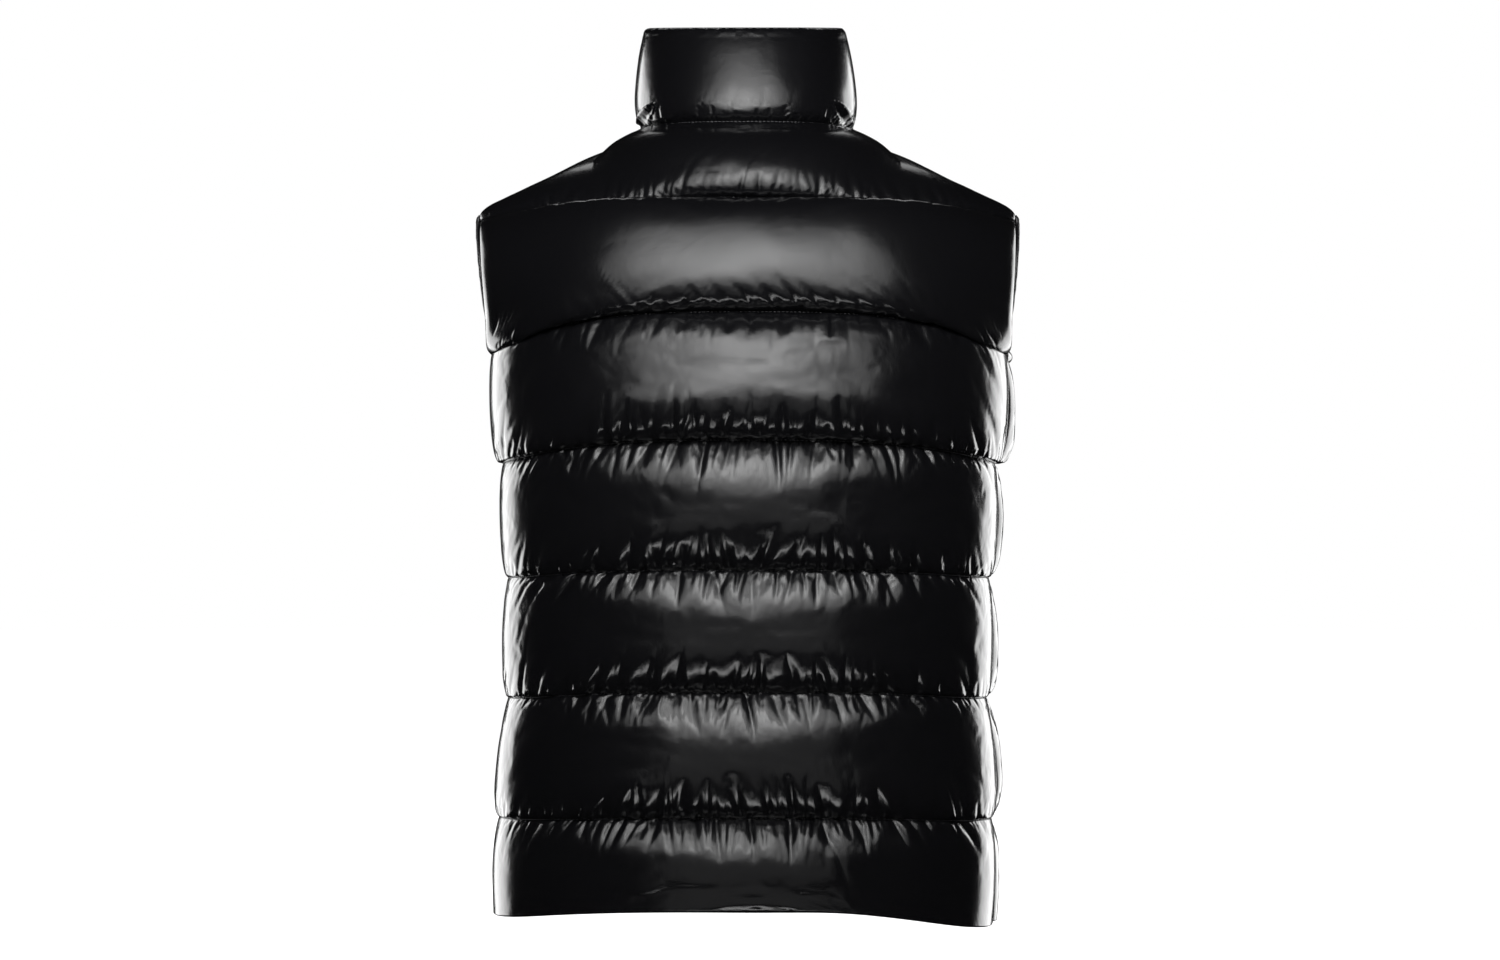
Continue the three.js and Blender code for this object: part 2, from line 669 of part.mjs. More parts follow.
// Slider in its own frame: the zip runs along z, and -y is out of the front.
function sliderGeometry() {
  const block = (sx, sy, sz, x, y, z) => solidOf(new THREE.BoxGeometry(sx, sy, sz).translate(x, y, z));
  const plateY = slider.gap / 2 + slider.plate / 2;
  const face = -(slider.gap / 2 + slider.plate);
  const depth = bridge.clearance + tab.barHalf + 0.4 + bridge.bar;
  const legZ = bridge.height / 2 - bridge.bar / 2;
  return geometryOf(
    block(slider.width, slider.plate, slider.height, 0, -plateY, 0)
      .add(block(slider.width, slider.plate, slider.height, 0, plateY, 0))
      .add(
        block(slider.post, slider.gap + slider.plate, slider.postHeight, 0, 0, slider.height / 2 - 2),
      )
      .add(block(bridge.width, bridge.bar, bridge.height, 0, face - depth + bridge.bar / 2, 0))
      .add(block(bridge.width, depth, bridge.bar, 0, face - depth / 2 + 0.05, legZ))
      .add(block(bridge.width, depth, bridge.bar, 0, face - depth / 2 + 0.05, -legZ)),
  );
}

// Pull tab: hangs from the bridge by an eye, with its pivot at its own origin.
function tabGeometry() {
  const half = tab.width / 2;
  const outline = new THREE.Shape();
  outline.moveTo(-half, tab.barHalf);
  outline.lineTo(-half, tab.corner - tab.length);
  outline.lineTo(tab.corner - half, -tab.length);
  outline.lineTo(half - tab.corner, -tab.length);
  outline.lineTo(half, tab.corner - tab.length);
  outline.lineTo(half, tab.barHalf);
  outline.closePath();
  const eye = new THREE.Path();
  eye.moveTo(-tab.eyeHalf, -tab.barHalf);
  eye.lineTo(tab.eyeHalf, -tab.barHalf);
  eye.lineTo(tab.eyeHalf, -tab.eyeEnd);
  eye.lineTo(-tab.eyeHalf, -tab.eyeEnd);
  eye.closePath();
  outline.holes.push(eye);
  return new THREE.ExtrudeGeometry(outline, { depth: tab.thick, bevelEnabled: false })
    .translate(0, 0, -tab.thick / 2)
    .rotateX(Math.PI / 2);
}

const hardware = new THREE.Group();
hardware.position.copy(sliderAt.centre);
group.add(hardware);
const sliderMesh = new THREE.Mesh(sliderGeometry(), blackMetal);
sliderMesh.name = "zip_slider";
sliderMesh.rotation.x = Math.atan2(sliderAt.way.y, -sliderAt.way.z);
hardware.add(sliderMesh);
const tabMesh = new THREE.Mesh(tabGeometry(), blackMetal);
tabMesh.name = "zip_pull_tab";
const pivotY = -(slider.gap / 2 + slider.plate + bridge.clearance);
tabMesh.position.set(0, pivotY, 0).applyAxisAngle(new THREE.Vector3(1, 0, 0), sliderMesh.rotation.x);
hardware.add(tabMesh);

export default group;
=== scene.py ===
"""Looks of the padded vest: simulated channels, their gathers and sewing, the zip, materials and studio."""

import math

import bpy
import numpy as np
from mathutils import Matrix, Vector


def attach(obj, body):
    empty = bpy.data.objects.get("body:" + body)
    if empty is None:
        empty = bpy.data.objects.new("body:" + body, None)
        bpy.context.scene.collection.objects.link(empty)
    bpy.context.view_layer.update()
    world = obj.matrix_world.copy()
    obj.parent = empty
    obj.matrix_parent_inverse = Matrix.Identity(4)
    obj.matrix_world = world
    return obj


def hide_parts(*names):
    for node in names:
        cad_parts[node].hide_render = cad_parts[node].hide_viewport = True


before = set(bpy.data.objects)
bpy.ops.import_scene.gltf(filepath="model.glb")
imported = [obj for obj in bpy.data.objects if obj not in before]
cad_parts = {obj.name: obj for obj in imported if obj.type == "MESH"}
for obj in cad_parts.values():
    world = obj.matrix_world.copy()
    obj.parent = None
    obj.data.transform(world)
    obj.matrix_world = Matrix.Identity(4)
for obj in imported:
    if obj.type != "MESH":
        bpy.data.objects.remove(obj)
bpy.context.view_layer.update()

# Sizes of the garment in millimetres, the same as the CAD model's
SKIN = 2.5
SIDE_SEAM_Y = -4
ZIP_EDGE = 9
SECTION_POWER = 2.5
UNDERARM_LEVEL = 5
TOP_LEVEL = 6

# line: side z, back z, front z, half width, back y, front y
BODY_LINES = {
    "hem": (-681, -667, -685, 208, 113, -114),
    "sixth": (-596, -589, -599, 211, 110, -118),
    "fifth": (-493, -483, -497, 205, 109, -122),
    "fourth": (-389, -380, -393, 206, 115, -124),
    "third": (-290, -271, -294, 211, 123, -123),
    "second": (-191, -164, -196, 218, 120, -117),
    "first": (-92, -67, -112, 224, 99, -106),
}
SIDE_Z, BACK_Z, FRONT_Z, HALF_WIDTH, BACK_Y, FRONT_Y = range(6)

ARMHOLE = {"y": -4, "z": -134.5, "half_height": 56.5, "back": 58, "front": 72, "bottom_x": 218, "top_x": 230}
ARMHOLE_DEG = {"yoke": 155, "shoulder": 212, "front_line": 243}
TURN_DEG = {"ring": 90, "yoke": 44, "front_top": 50}
NECK = {"half_width": 86, "y": -15, "half_depth": 77, "drop": 60, "drop_y": -12}
COLLAR_TOP = {"half_width": 80, "y": -28, "half_depth": 72, "z": 83, "side_rise": 9, "drop": 63}
NECK_POWER = 2.15
SHOULDER_DEG = 103
ZIP_DEG = 174.8

SWAY = {"most": 5, "straight_z": -270, "reach": 400}
HEM_DIP = {"most": 9, "from_x": 60, "over_x": 150, "from_z": -570, "over_z": 110}
COLUMNS = {"shoulder": 10, "back_neck": 20, "front_neck": 8}
CURVE_SAMPLES = 1201
BELOW_TOP_LINE = 0.08  # levels below the topmost stitched line, to read the cloth's direction there

# Padding above the stitched lines
PUFF = {"back": 22, "front": 19, "side": 8.5, "collar": 11}
# Crown of the top channel: in the middle, where it thins below the neck's corner, and on the shoulder
TOP_CROWN = {
    "back": {"middle": 12, "corner": 2, "shoulder": 6, "corner_at": 0.42, "shoulder_at": 0.8},
    "front": {"middle": 13, "corner": 3.5, "shoulder": 7, "corner_at": 0.444, "shoulder_at": 0.78},
}
# Share of the half width up to which a channel is full; it thins from there to its side
FULLEST = {"chest": 0.35, "below": 0.08}
EDGE_RISE = 1.5
EDGE_ROLL = {"armhole": 0.07, "side": 0.045, "zip": 0.11, "collar": 0.05}
# Profiles of the channels, as shares of a channel's height: where a crown ends and how the rest falls
SINK = 0.64
GATHERED = {"crown_to": 0.38, "low": 0.72, "slope_over": 0.62, "slope_power": 2.5, "hem_roll": 0.04}
TOP_FALL = {"crown_to": 0.3, "over": 1.4, "power": 1.15}
# Slow swell of the filling: share of the padding, and its steps along and up in mm
SWELL = {"slow": (0.07, 75, 60), "quick": (0.02, 28, 30)}
LEAN = {"most": 0.8, "power": 1.6}

# Mesh steps per CAD column, and the rows of a channel in the simulated cloth and in the finished mesh
FINE = 9
CLOTH_ROWS = {"back": 34, "front": 24, "top": 36, "collar": 30}
SHOWN_ROWS = {"back": 52, "front": 34, "top": 56, "collar": 84}

# The cloth: looseness is its spare length beside a stitched line, and reach how far that goes, in mm
CLOTH = {"frames": 18, "quality": 4, "pressure": 4, "bending": 0.5, "tension": 25, "most_move": 9}
LOOSENESS = 0.05
CALM_SIDE = {"from": 0.6, "to": 0.88, "left_over": 0.12}

# Beside each stitched line: how far the cloth is loose, in mm, the gathers' height and how fine they are
BESIDE = {
    "hem": (0, 0, 1),
    "lower": (18, 1, 1),
    "below_second": (10, 0.6, 1),
    "above_second": (5, 0.4, 1.6),
    "below_first": (3, 0.1, 1),
    "above_first": (5, 0.36, 1.6),
    "neck": (3, 0, 1),
    "collar_base": (4, 0.12, 1),
    "collar_top": (3, 0.15, 1),
}
LOWER_SIDE = ("hem", "lower", "lower", "lower", "lower", "above_second", "above_first")
UPPER_SIDE = ("lower", "lower", "lower", "lower", "below_second", "below_first", "neck")

# Gathers: spacing along the seam, height, reach from the seam and slant, in mm
GATHERS = {
    "long": {"spacing": 27, "height": 3.4, "reach": 32, "slant": 0.35},
    "middle": {"spacing": 12.5, "height": 2.4, "reach": 19, "slant": 0.35},
    "fine": {"spacing": 5.6, "height": 0.8, "reach": 7, "slant": 0.2},
}


def mix(a, b, share):
    return a + (b - a) * share


def smooth(share):
    s = np.clip(share, 0, 1)
    return s * s * (3 - 2 * s)


def power(value, exponent):
    return np.sign(value) * np.abs(value) ** exponent


def unit(vectors):
    return vectors / np.maximum(np.linalg.norm(vectors, axis=-1, keepdims=True), 1e-9)


# Base surface of the garment, through its stitched lines
def line_value(column, level):
    table = np.array(list(BODY_LINES.values()), dtype=float)[:, column]
    last = len(table) - 1
    at = min(last - 1, int(level))
    share = level - at
    p, q, r, s = (table[min(last, max(0, i))] for i in range(at - 1, at + 3))
    bend = share * share * (3 - 2 * share)
    in_part = share * (1 - share) ** 2
    out_part = share * share * (share - 1)
    return mix(q, r, bend) + (r - p) / 2 * in_part + (s - q) / 2 * out_part


def armhole_point(degrees):
    a = np.radians(degrees)
    reach = np.where(np.sin(a) > 0, ARMHOLE["back"], ARMHOLE["front"])
    x = mix(ARMHOLE["bottom_x"], ARMHOLE["top_x"], (1 - np.cos(a)) / 2)
    y = ARMHOLE["y"] + reach * np.sin(a)
    z = ARMHOLE["z"] - ARMHOLE["half_height"] * np.cos(a)
    return np.stack([x, y, z], axis=-1)


def ring_plan(ring, degrees):
    a = np.radians(degrees)
    forward = -power(np.cos(a), 2 / NECK_POWER)
    x = ring["half_width"] * power(np.sin(a), 2 / NECK_POWER)
    return x, ring["y"] - ring["half_depth"] * forward, forward


def neck_point(degrees):
    x, y, _ = ring_plan(NECK, degrees)
    depth = NECK["drop_y"] - NECK["y"] + NECK["half_depth"]
    drop = np.maximum(0, (NECK["drop_y"] - y) / depth)
    return np.stack([x, y, -NECK["drop"] * drop**1.7], axis=-1)


def collar_top_point(degrees):
    x, y, forward = ring_plan(COLLAR_TOP, degrees)
    rise = COLLAR_TOP["side_rise"] * np.minimum(1, 1 + forward)
    drop = COLLAR_TOP["drop"] * np.maximum(0, forward) ** 1.3
    return np.stack([x, y, COLLAR_TOP["z"] + rise - drop], axis=-1)


def lengths_along(line):
    steps = np.linalg.norm(np.diff(line, axis=0), axis=1)
    return np.concatenate([[0], np.cumsum(steps)])


def at_lengths(table, along, target):
    """Rows of a table of points or directions, read at the lengths asked for."""
    return np.stack([np.interp(target, along, table[:, k]) for k in range(3)], axis=-1)


def evenly(line, count):
    along = lengths_along(line)
    return at_lengths(line, along, np.linspace(0, along[-1], count + 1))


def section_row(level, is_back, count):
    share = max(0, level - UNDERARM_LEVEL)
    armhole_end = ARMHOLE_DEG["yoke"] if is_back else ARMHOLE_DEG["front_line"] - 360
    turn = mix(TURN_DEG["ring"], TURN_DEG["yoke" if is_back else "front_top"], smooth(share))
    if level > UNDERARM_LEVEL:
        edge = armhole_point(share * armhole_end)
    else:
        edge = np.array([line_value(HALF_WIDTH, level), SIDE_SEAM_Y, line_value(SIDE_Z, level)])
    centre_y = line_value(BACK_Y if is_back else FRONT_Y, level)
    centre_z = line_value(BACK_Z if is_back else FRONT_Z, level)
    exponent = 2 / SECTION_POWER
    angles = np.radians(np.linspace(-turn if is_back else 0, turn, CURVE_SAMPLES))
    across = power(np.sin(angles), exponent) / power(math.sin(math.radians(turn)), exponent)
    closing = max(0, math.cos(math.radians(turn))) ** exponent
    deep = (np.maximum(0, np.cos(angles)) ** exponent - closing) / (1 - closing)
    x = edge[0] * across if is_back else mix(ZIP_EDGE, edge[0], across)
    line = np.stack(
        [x, mix(edge[1], centre_y, deep), mix(edge[2], centre_z, 1 - np.abs(across) ** 3)], axis=-1
    )
    return evenly(line, count)


def bridge_curve(start, end, start_way, end_way, share):
    reach = np.linalg.norm(end - start, axis=-1, keepdims=True)
    s = share
    return (
        start * (2 * s**3 - 3 * s**2 + 1)
        + start_way * (s**3 - 2 * s**2 + s) * reach
        + end * (-2 * s**3 + 3 * s**2)
        + end_way * (s**3 - s**2) * reach
    )


def arrival_way(points, on_neck, is_back):
    """Direction in which the top channel's cloth reaches the neck or the shoulder seam."""
    inward = np.stack([-points[:, 0], NECK["y"] - points[:, 1], np.zeros(len(points))], axis=-1)
    sideways = (np.abs(points[:, 0]) / NECK["half_width"])[:, None]
    at_neck = unit(inward) * mix(0.6, 1, sideways)
    at_neck[:, 2:] += mix(0.75, 0.35, sideways)
    at_shoulder = np.array([0, -1.1, -0.1] if is_back else [0, 0.8, 0.75])
    return mix(at_shoulder, at_neck, on_neck[:, None])


def top_patch(below, first, upper, on_neck, is_back, edges, shares, fine):
    """Rows from the topmost stitched line to the upper edge, drawn to the armholes at their ends."""
    start_way = unit(first - below) * (1.15 if is_back else 1)
    end_way = arrival_way(upper, on_neck, is_back)
    index = np.arange(len(first))
    rows = []
    for share in shares:
        row = bridge_curve(first, upper, start_way, end_way, share)
        plain = row.copy()
        for column, point_at in edges:
            nearness = smooth(1 - np.abs(index - column) / (4 * fine))[:, None]
            row += (point_at(share) - plain[column]) * nearness
        rows.append(row)
    rows[-1] = upper
    return rows


def shoulder_seam(fine):
    ends = np.stack([armhole_point(ARMHOLE_DEG["shoulder"]), neck_point(SHOULDER_DEG)])
    return evenly(ends, COLUMNS["shoulder"] * fine)


def neck_arc(point_at, start, end, count):
    return evenly(point_at(np.linspace(start, end, CURVE_SAMPLES)), count)


def row_shares(count):
    """Rows of one channel, closer together beside its two stitched lines."""
    even = np.linspace(0, 1, count)
    return mix(even, (1 - np.cos(np.pi * even)) / 2, 0.7)


def body_levels(count):
    shares = row_shares(count)[:-1]
    return np.concatenate([n + shares for n in range(TOP_LEVEL)] + [[TOP_LEVEL]])


def on_neck_share(near, neck_columns, fine):
    return smooth((near / fine - neck_columns + 5) / 7)


def back_grid(fine, channel_rows, top_rows):
    count = (2 * COLUMNS["shoulder"] + COLUMNS["back_neck"]) * fine
    rows = [section_row(level, True, count) for level in body_levels(channel_rows)]
    left = shoulder_seam(fine)
    arc = neck_arc(neck_point, -SHOULDER_DEG, SHOULDER_DEG, COLUMNS["back_neck"] * fine)
    upper = np.concatenate([left * [-1, 1, 1], arc[1:-1], left[::-1]])
    index = np.arange(count + 1)
    on_neck = on_neck_share(np.minimum(index, count - index), COLUMNS["shoulder"], fine)

    def edge_at(side):
        span = (ARMHOLE_DEG["yoke"], ARMHOLE_DEG["shoulder"])
        return lambda share: armhole_point(mix(*span, share)) * [side, 1, 1]

    edges = [(0, edge_at(-1)), (count, edge_at(1))]
    below = section_row(TOP_LEVEL - BELOW_TOP_LINE, True, count)
    shares = row_shares(top_rows)[1:]
    rows += top_patch(below, rows[-1], upper, on_neck, True, edges, shares, fine)
    return np.stack(rows)


def front_grid(fine, channel_rows, top_rows):
    count = (COLUMNS["front_neck"] + COLUMNS["shoulder"]) * fine
    rows = [section_row(level, False, count) for level in body_levels(channel_rows)]
    arc = neck_arc(neck_point, ZIP_DEG, SHOULDER_DEG, COLUMNS["front_neck"] * fine)
    upper = np.concatenate([arc, shoulder_seam(fine)[::-1][1:]])
    near = count - np.arange(count + 1)
    on_neck = on_neck_share(near, COLUMNS["shoulder"], fine)
    span = (ARMHOLE_DEG["front_line"], ARMHOLE_DEG["shoulder"])
    edges = [(count, lambda share: armhole_point(mix(*span, share)))]
    below = section_row(TOP_LEVEL - BELOW_TOP_LINE, False, count)
    shares = row_shares(top_rows)[1:]
    rows += top_patch(below, rows[-1], upper, on_neck, False, edges, shares, fine)
    grid = np.stack(rows)
    grid[:, 0, 0] = ZIP_EDGE
    return grid


def collar_grid(fine, rows):
    turns = (
        (ZIP_DEG, SHOULDER_DEG, COLUMNS["front_neck"]),
        (SHOULDER_DEG, -SHOULDER_DEG, COLUMNS["back_neck"]),
        (-SHOULDER_DEG, -ZIP_DEG, COLUMNS["front_neck"]),
    )
    rings = []
    for point_at in (neck_point, collar_top_point):
        arcs = [neck_arc(point_at, a, b, n * fine) for a, b, n in turns]
        rings.append(np.concatenate([arcs[0], arcs[1][1:], arcs[2][1:]]))
    shares = row_shares(rows)[:, None, None]
    grid = mix(rings[0][None], rings[1][None], shares)
    grid[:, 0, 0] = ZIP_EDGE
    grid[:, -1, 0] = -ZIP_EDGE
    return grid


def drape(points):
    out = points.copy()
    bend = ((out[..., 2] - SWAY["straight_z"]) / SWAY["reach"]) ** 2
    to_side = smooth((-out[..., 0] - HEM_DIP["from_x"]) / HEM_DIP["over_x"])
    to_hem = smooth((HEM_DIP["from_z"] - out[..., 2]) / HEM_DIP["over_z"])
    out[..., 0] += SWAY["most"] * bend
    out[..., 2] -= HEM_DIP["most"] * to_side * to_hem
    return out


def grid_normals(grid, outward):
    down = np.gradient(grid, axis=0)
    along = np.gradient(grid, axis=1)
    return unit(np.cross(along, down)) * outward


# Height of the padding above the base surface: 0 on a stitched line and 1 at the crown
def channel_rise(share):
    return np.sqrt(np.maximum(0, 1 - np.abs(2 * share - 1) ** 2.6))


def sunk_rise(share):
    """A rounder channel whose filling has sunk, so that its crown is low."""
    return np.sqrt(np.maximum(0, 1 - (2 * np.abs(share) ** SINK - 1) ** 2))


def gathered_rise(share):
    """A low crown with a long slope above it, down which the gathers run."""
    crown = GATHERED["crown_to"]
    slope = 1 - np.maximum(0, 1 - (1 - share) / GATHERED["slope_over"]) ** GATHERED["slope_power"]
    return GATHERED["low"] * np.where(share < crown, channel_rise(share / (2 * crown)), slope)


def hem_rise(share):
    """Full down to the hem, where it rolls in."""
    lower = GATHERED["low"] * roll_up(share, GATHERED["hem_roll"])
    return np.where(share < GATHERED["crown_to"], lower, gathered_rise(share))


def top_rise(share):
    """Rounds over just above the stitched line and thins out towards the neck and the shoulders."""
    crown = TOP_FALL["crown_to"]
    fall = np.abs(np.cos(np.pi * (share - crown) / TOP_FALL["over"])) ** TOP_FALL["power"]
    return np.where(share < crown, channel_rise(share / (2 * crown)), fall)


def collar_rise(share):
    return sunk_rise(share * 0.94) * roll_up(1 - share, 0.06)


def roll_up(distance, reach):
    """Quarter of a circle: 0 at the edge and 1 from the reach on."""
    return np.sqrt(np.maximum(0, 1 - np.maximum(0, 1 - distance / reach) ** 2))


def noise_line(rng, length, step, samples):
    """Smooth noise from -1 to 1 along a line, with a new value each step."""
    knots = rng.uniform(-1, 1, int(length / step) + 4)
    at = np.clip(samples / step, 0, len(knots) - 3.001)
    low = at.astype(int)
    t = smooth(at - low)
    return mix(knots[low], knots[low + 1], t)


def noise_patch(rng, u, v, step_u, step_v):
    """Smooth noise from -1 to 1 over a patch, with a new value each step."""
    knots = rng.uniform(-1, 1, (int(v.max() / step_v) + 3, int(u.max() / step_u) + 3))
    iu, iv = (u / step_u).astype(int), (v / step_v).astype(int)
    tu, tv = smooth(u / step_u - iu), smooth(v / step_v - iv)
    low = mix(knots[iv, iu], knots[iv, iu + 1], tu)
    high = mix(knots[iv + 1, iu], knots[iv + 1, iu + 1], tu)
    return mix(low, high, tv)


class Gathers:
    """Folds of one size beside one side of a stitched line, uneven in place, height and reach."""

    def __init__(self, kind, length, seed):
        rng = np.random.default_rng(seed)
        self.size = GATHERS[kind]
        spacing = self.size["spacing"]
        count = int(length / spacing) + 8
        steps = spacing * rng.uniform(0.6, 1.4, count)
        self.places = np.cumsum(steps) - 3 * spacing
        self.heights = rng.uniform(0.25, 1.25, count) ** 1.3
        self.reaches = rng.uniform(0.5, 1.5, count)
        self.slants = rng.uniform(-1, 1, count)

    def height(self, along, away, lean):
        place, size = self.places, self.size
        index = np.arange(len(place))
        first = np.interp(along, place, index)
        slant = np.interp(first, index, self.slants) * size["slant"] + lean
        at = np.interp(along - slant * away, place, index)
        ridge = np.abs(np.cos(np.pi * at)) ** 0.8
        reach = size["reach"] * np.interp(at, index, self.reaches)
        tall = size["height"] * np.interp(at, index, self.heights)
        near = away / (0.22 * reach)
        fade = np.where(near < 1, near * np.exp(1 - near), 1) * np.exp(-((away / reach) ** 1.6))
        return tall * fade * (ridge - 0.55)


def arc_along(grid):
    steps = np.linalg.norm(np.diff(grid, axis=1), axis=2)
    return np.concatenate([np.zeros((len(grid), 1)), np.cumsum(steps, axis=1)], axis=1)


def arc_up(grid):
    steps = np.linalg.norm(np.diff(grid, axis=0), axis=2)
    return np.concatenate([np.zeros((1, grid.shape[1])), np.cumsum(steps, axis=0)], axis=0)


class Channel:
    """One padded channel: rows of a grid from one stitched line to the next."""

    def __init__(self, grid, normals, shares, amount, seed, rise, calm, sides):
        self.grid, self.normals, self.shares = grid, normals, shares
        self.amount, self.seed, self.rise, self.calm = amount, seed, rise, calm
        self.reaches, self.folds, self.fineness = zip(*(BESIDE[side] for side in sides))

    def looseness(self):
        """Share of the cloth's full spare length, most on the stitched lines and uneven along them."""
        along, up = arc_along(self.grid), arc_up(self.grid)
        total = np.zeros(up.shape)
        for order, (away, reach) in enumerate(zip((up, up[-1] - up), self.reaches)):
            if reach:
                rng = np.random.default_rng(self.seed * 10 + 5 + order)
                uneven = 0.72 + 0.28 * noise_line(rng, along.max() + 60, 22, along)
                total += np.exp(-away / reach) * uneven
        return np.clip(total, 0, 1) * self.calm

    def heights(self):
        """Height of the outer cloth above the base surface, in mm, with its swell and gathers."""
        along, up = arc_along(self.grid), arc_up(self.grid)
        width = along.max()
        tall = up[-1][None, :]
        share = self.shares[:, None]
        rng = np.random.default_rng(self.seed)
        swell = 1
        for most, step_along, step_up in SWELL.values():
            swell = swell + most * noise_patch(rng, along, up, step_along, step_up)
        height = self.rise(share) * self.amount * swell
        middle = along / width - 0.5
        lean = LEAN["most"] * power(middle * 2, LEAN["power"])
        for order, kind in enumerate(GATHERS):
            for side, (away, way) in enumerate(((up, -1), (tall - up, 1))):
                fine = self.fineness[side]
                gathers = Gathers(kind, width * fine, self.seed * 10 + order * 2 + side)
                folds = gathers.height(along * fine, away * fine, way * lean)
                height = height + folds * self.calm * self.folds[side]
        return SKIN + height


# Cloth simulation of a padded shell with its stitched lines held
def mesh_object(name, points, faces, smooth_faces=True):
    mesh = bpy.data.meshes.new(name)
    mesh.from_pydata((np.asarray(points).reshape(-1, 3) / 1000).tolist(), [], faces.tolist())
    mesh.polygons.foreach_set("use_smooth", [smooth_faces] * len(mesh.polygons))
    mesh.update()
    obj = bpy.data.objects.new(name, mesh)
    bpy.context.scene.collection.objects.link(obj)
    return obj


def grid_faces(rows, columns, flipped=False):
    index = np.arange(rows * columns).reshape(rows, columns)
    quads = np.stack([index[:-1, :-1], index[:-1, 1:], index[1:, 1:], index[1:, :-1]], axis=-1)
    quads = quads.reshape(-1, 4)
    return quads[:, ::-1] if flipped else quads


def held_edges(rows, columns, seam_rows):
    held = np.zeros((rows, columns), dtype=bool)
    held[seam_rows] = True
    held[:, [0, -1]] = True
    return held


def weight_group(obj, name, weights):
    """A vertex group with weights in steps of a twentieth."""
    group = obj.vertex_groups.new(name=name)
    steps = np.round(weights.reshape(-1) * 20).astype(int)
    for step in range(1, 21):
        group.add(np.nonzero(steps == step)[0].tolist(), step / 20, "REPLACE")


def simulate(points, seam_rows, loose, flipped):
    """Blows the cloth up between its stitched lines and gives how far each point moved, in mm."""
    rows, columns = points.shape[:2]
    obj = mesh_object("blown", points, grid_faces(rows, columns, flipped))
    weight_group(obj, "held", held_edges(rows, columns, seam_rows).astype(float))
    weight_group(obj, "taut", 1 - loose)
    cloth = obj.modifiers.new("cloth", "CLOTH")
    settings = cloth.settings
    settings.quality = CLOTH["quality"]
    settings.mass = 0.3
    settings.tension_stiffness = settings.compression_stiffness = CLOTH["tension"]
    settings.shear_stiffness = CLOTH["tension"] / 3
    settings.bending_stiffness = CLOTH["bending"]
    settings.use_pressure = True
    settings.uniform_pressure_force = CLOTH["pressure"]
    settings.vertex_group_mass = "held"
    settings.vertex_group_shrink = "taut"
    settings.shrink_min = -LOOSENESS
    settings.shrink_max = 0
    settings.effector_weights.gravity = 0
    cloth.point_cache.frame_start, cloth.point_cache.frame_end = 1, CLOTH["frames"]
    scene = bpy.context.scene
    for number in range(1, CLOTH["frames"] + 1):
        scene.frame_set(number)
    blown = obj.evaluated_get(bpy.context.evaluated_depsgraph_get()).to_mesh()
    out = np.empty(rows * columns * 3)
    blown.vertices.foreach_get("co", out)
    mesh = obj.data
    bpy.data.objects.remove(obj)
    bpy.data.meshes.remove(mesh)
    scene.frame_set(1)
    moves = out.reshape(rows, columns, 3) * 1000 - points
    size = np.linalg.norm(moves, axis=-1, keepdims=True)
    return moves * np.minimum(1, CLOTH["most_move"] / np.maximum(size, 1e-6))


def finer_columns(values):
    """Doubles the columns with a smooth curve through the old ones."""
    ends = np.concatenate([values[:, :1], values, values[:, -1:]], axis=1)
    between = (9 * (values[:, :-1] + values[:, 1:]) - ends[:, :-3] - ends[:, 3:]) / 16
    out = np.empty((values.shape[0], 2 * values.shape[1] - 1, 3))
    out[:, ::2], out[:, 1::2] = values, between
    return out


def finer_rows(values, old_shares, new_shares):
    """Reads the rows at new shares on a smooth curve through the old ones."""
    at = np.interp(new_shares, old_shares, np.arange(len(old_shares)))
    low = np.clip(at.astype(int), 0, len(old_shares) - 2)
    t = (at - low)[:, None, None]
    before = values[np.maximum(low - 1, 0)]
    after = values[np.minimum(low + 2, len(old_shares) - 1)]
    a, b = values[low], values[low + 1]
    out = a + t * (b - before) / 2 + t**2 * (before - 2.5 * a + 2 * b - after / 2)
    return out + t**3 * (1.5 * (a - b) + (after - before) / 2)


# Parts of the garment as grids with their padding
def across_back(columns):
    return np.abs(np.linspace(-1, 1, columns))


def top_amount(across, is_back):
    crown = TOP_CROWN["back" if is_back else "front"]
    corner, shoulder = crown["corner_at"], crown["shoulder_at"]
    inner = mix(crown["middle"], crown["corner"], smooth(across / corner))
    outer = mix(crown["corner"], crown["shoulder"], smooth((across - corner) / (shoulder - corner)))
    return np.where(across < corner, inner, outer)


def body_amount(columns, channel, is_back):
    across = across_back(columns) if is_back else np.linspace(0, 1, columns)
    if channel == TOP_LEVEL:
        amount = top_amount(across, is_back)
    else:
        crown = PUFF["back" if is_back else "front"]
        fullest = FULLEST["chest" if channel == UNDERARM_LEVEL else "below"]
        amount = mix(crown, PUFF["side"], smooth((across - fullest) / (0.9 - fullest)))
    roll = EDGE_ROLL["armhole" if channel >= UNDERARM_LEVEL else "side"]
    edges = roll_up(1 - across, roll)
    if not is_back:
        edges = edges * roll_up(across, EDGE_ROLL["zip"])
    toward_side = smooth((across - CALM_SIDE["from"]) / (CALM_SIDE["to"] - CALM_SIDE["from"]))
    calm = mix(1, CALM_SIDE["left_over"], toward_side)
    return amount * edges + (1 - edges) * EDGE_RISE, calm * smooth((edges - 0.6) / 0.4)


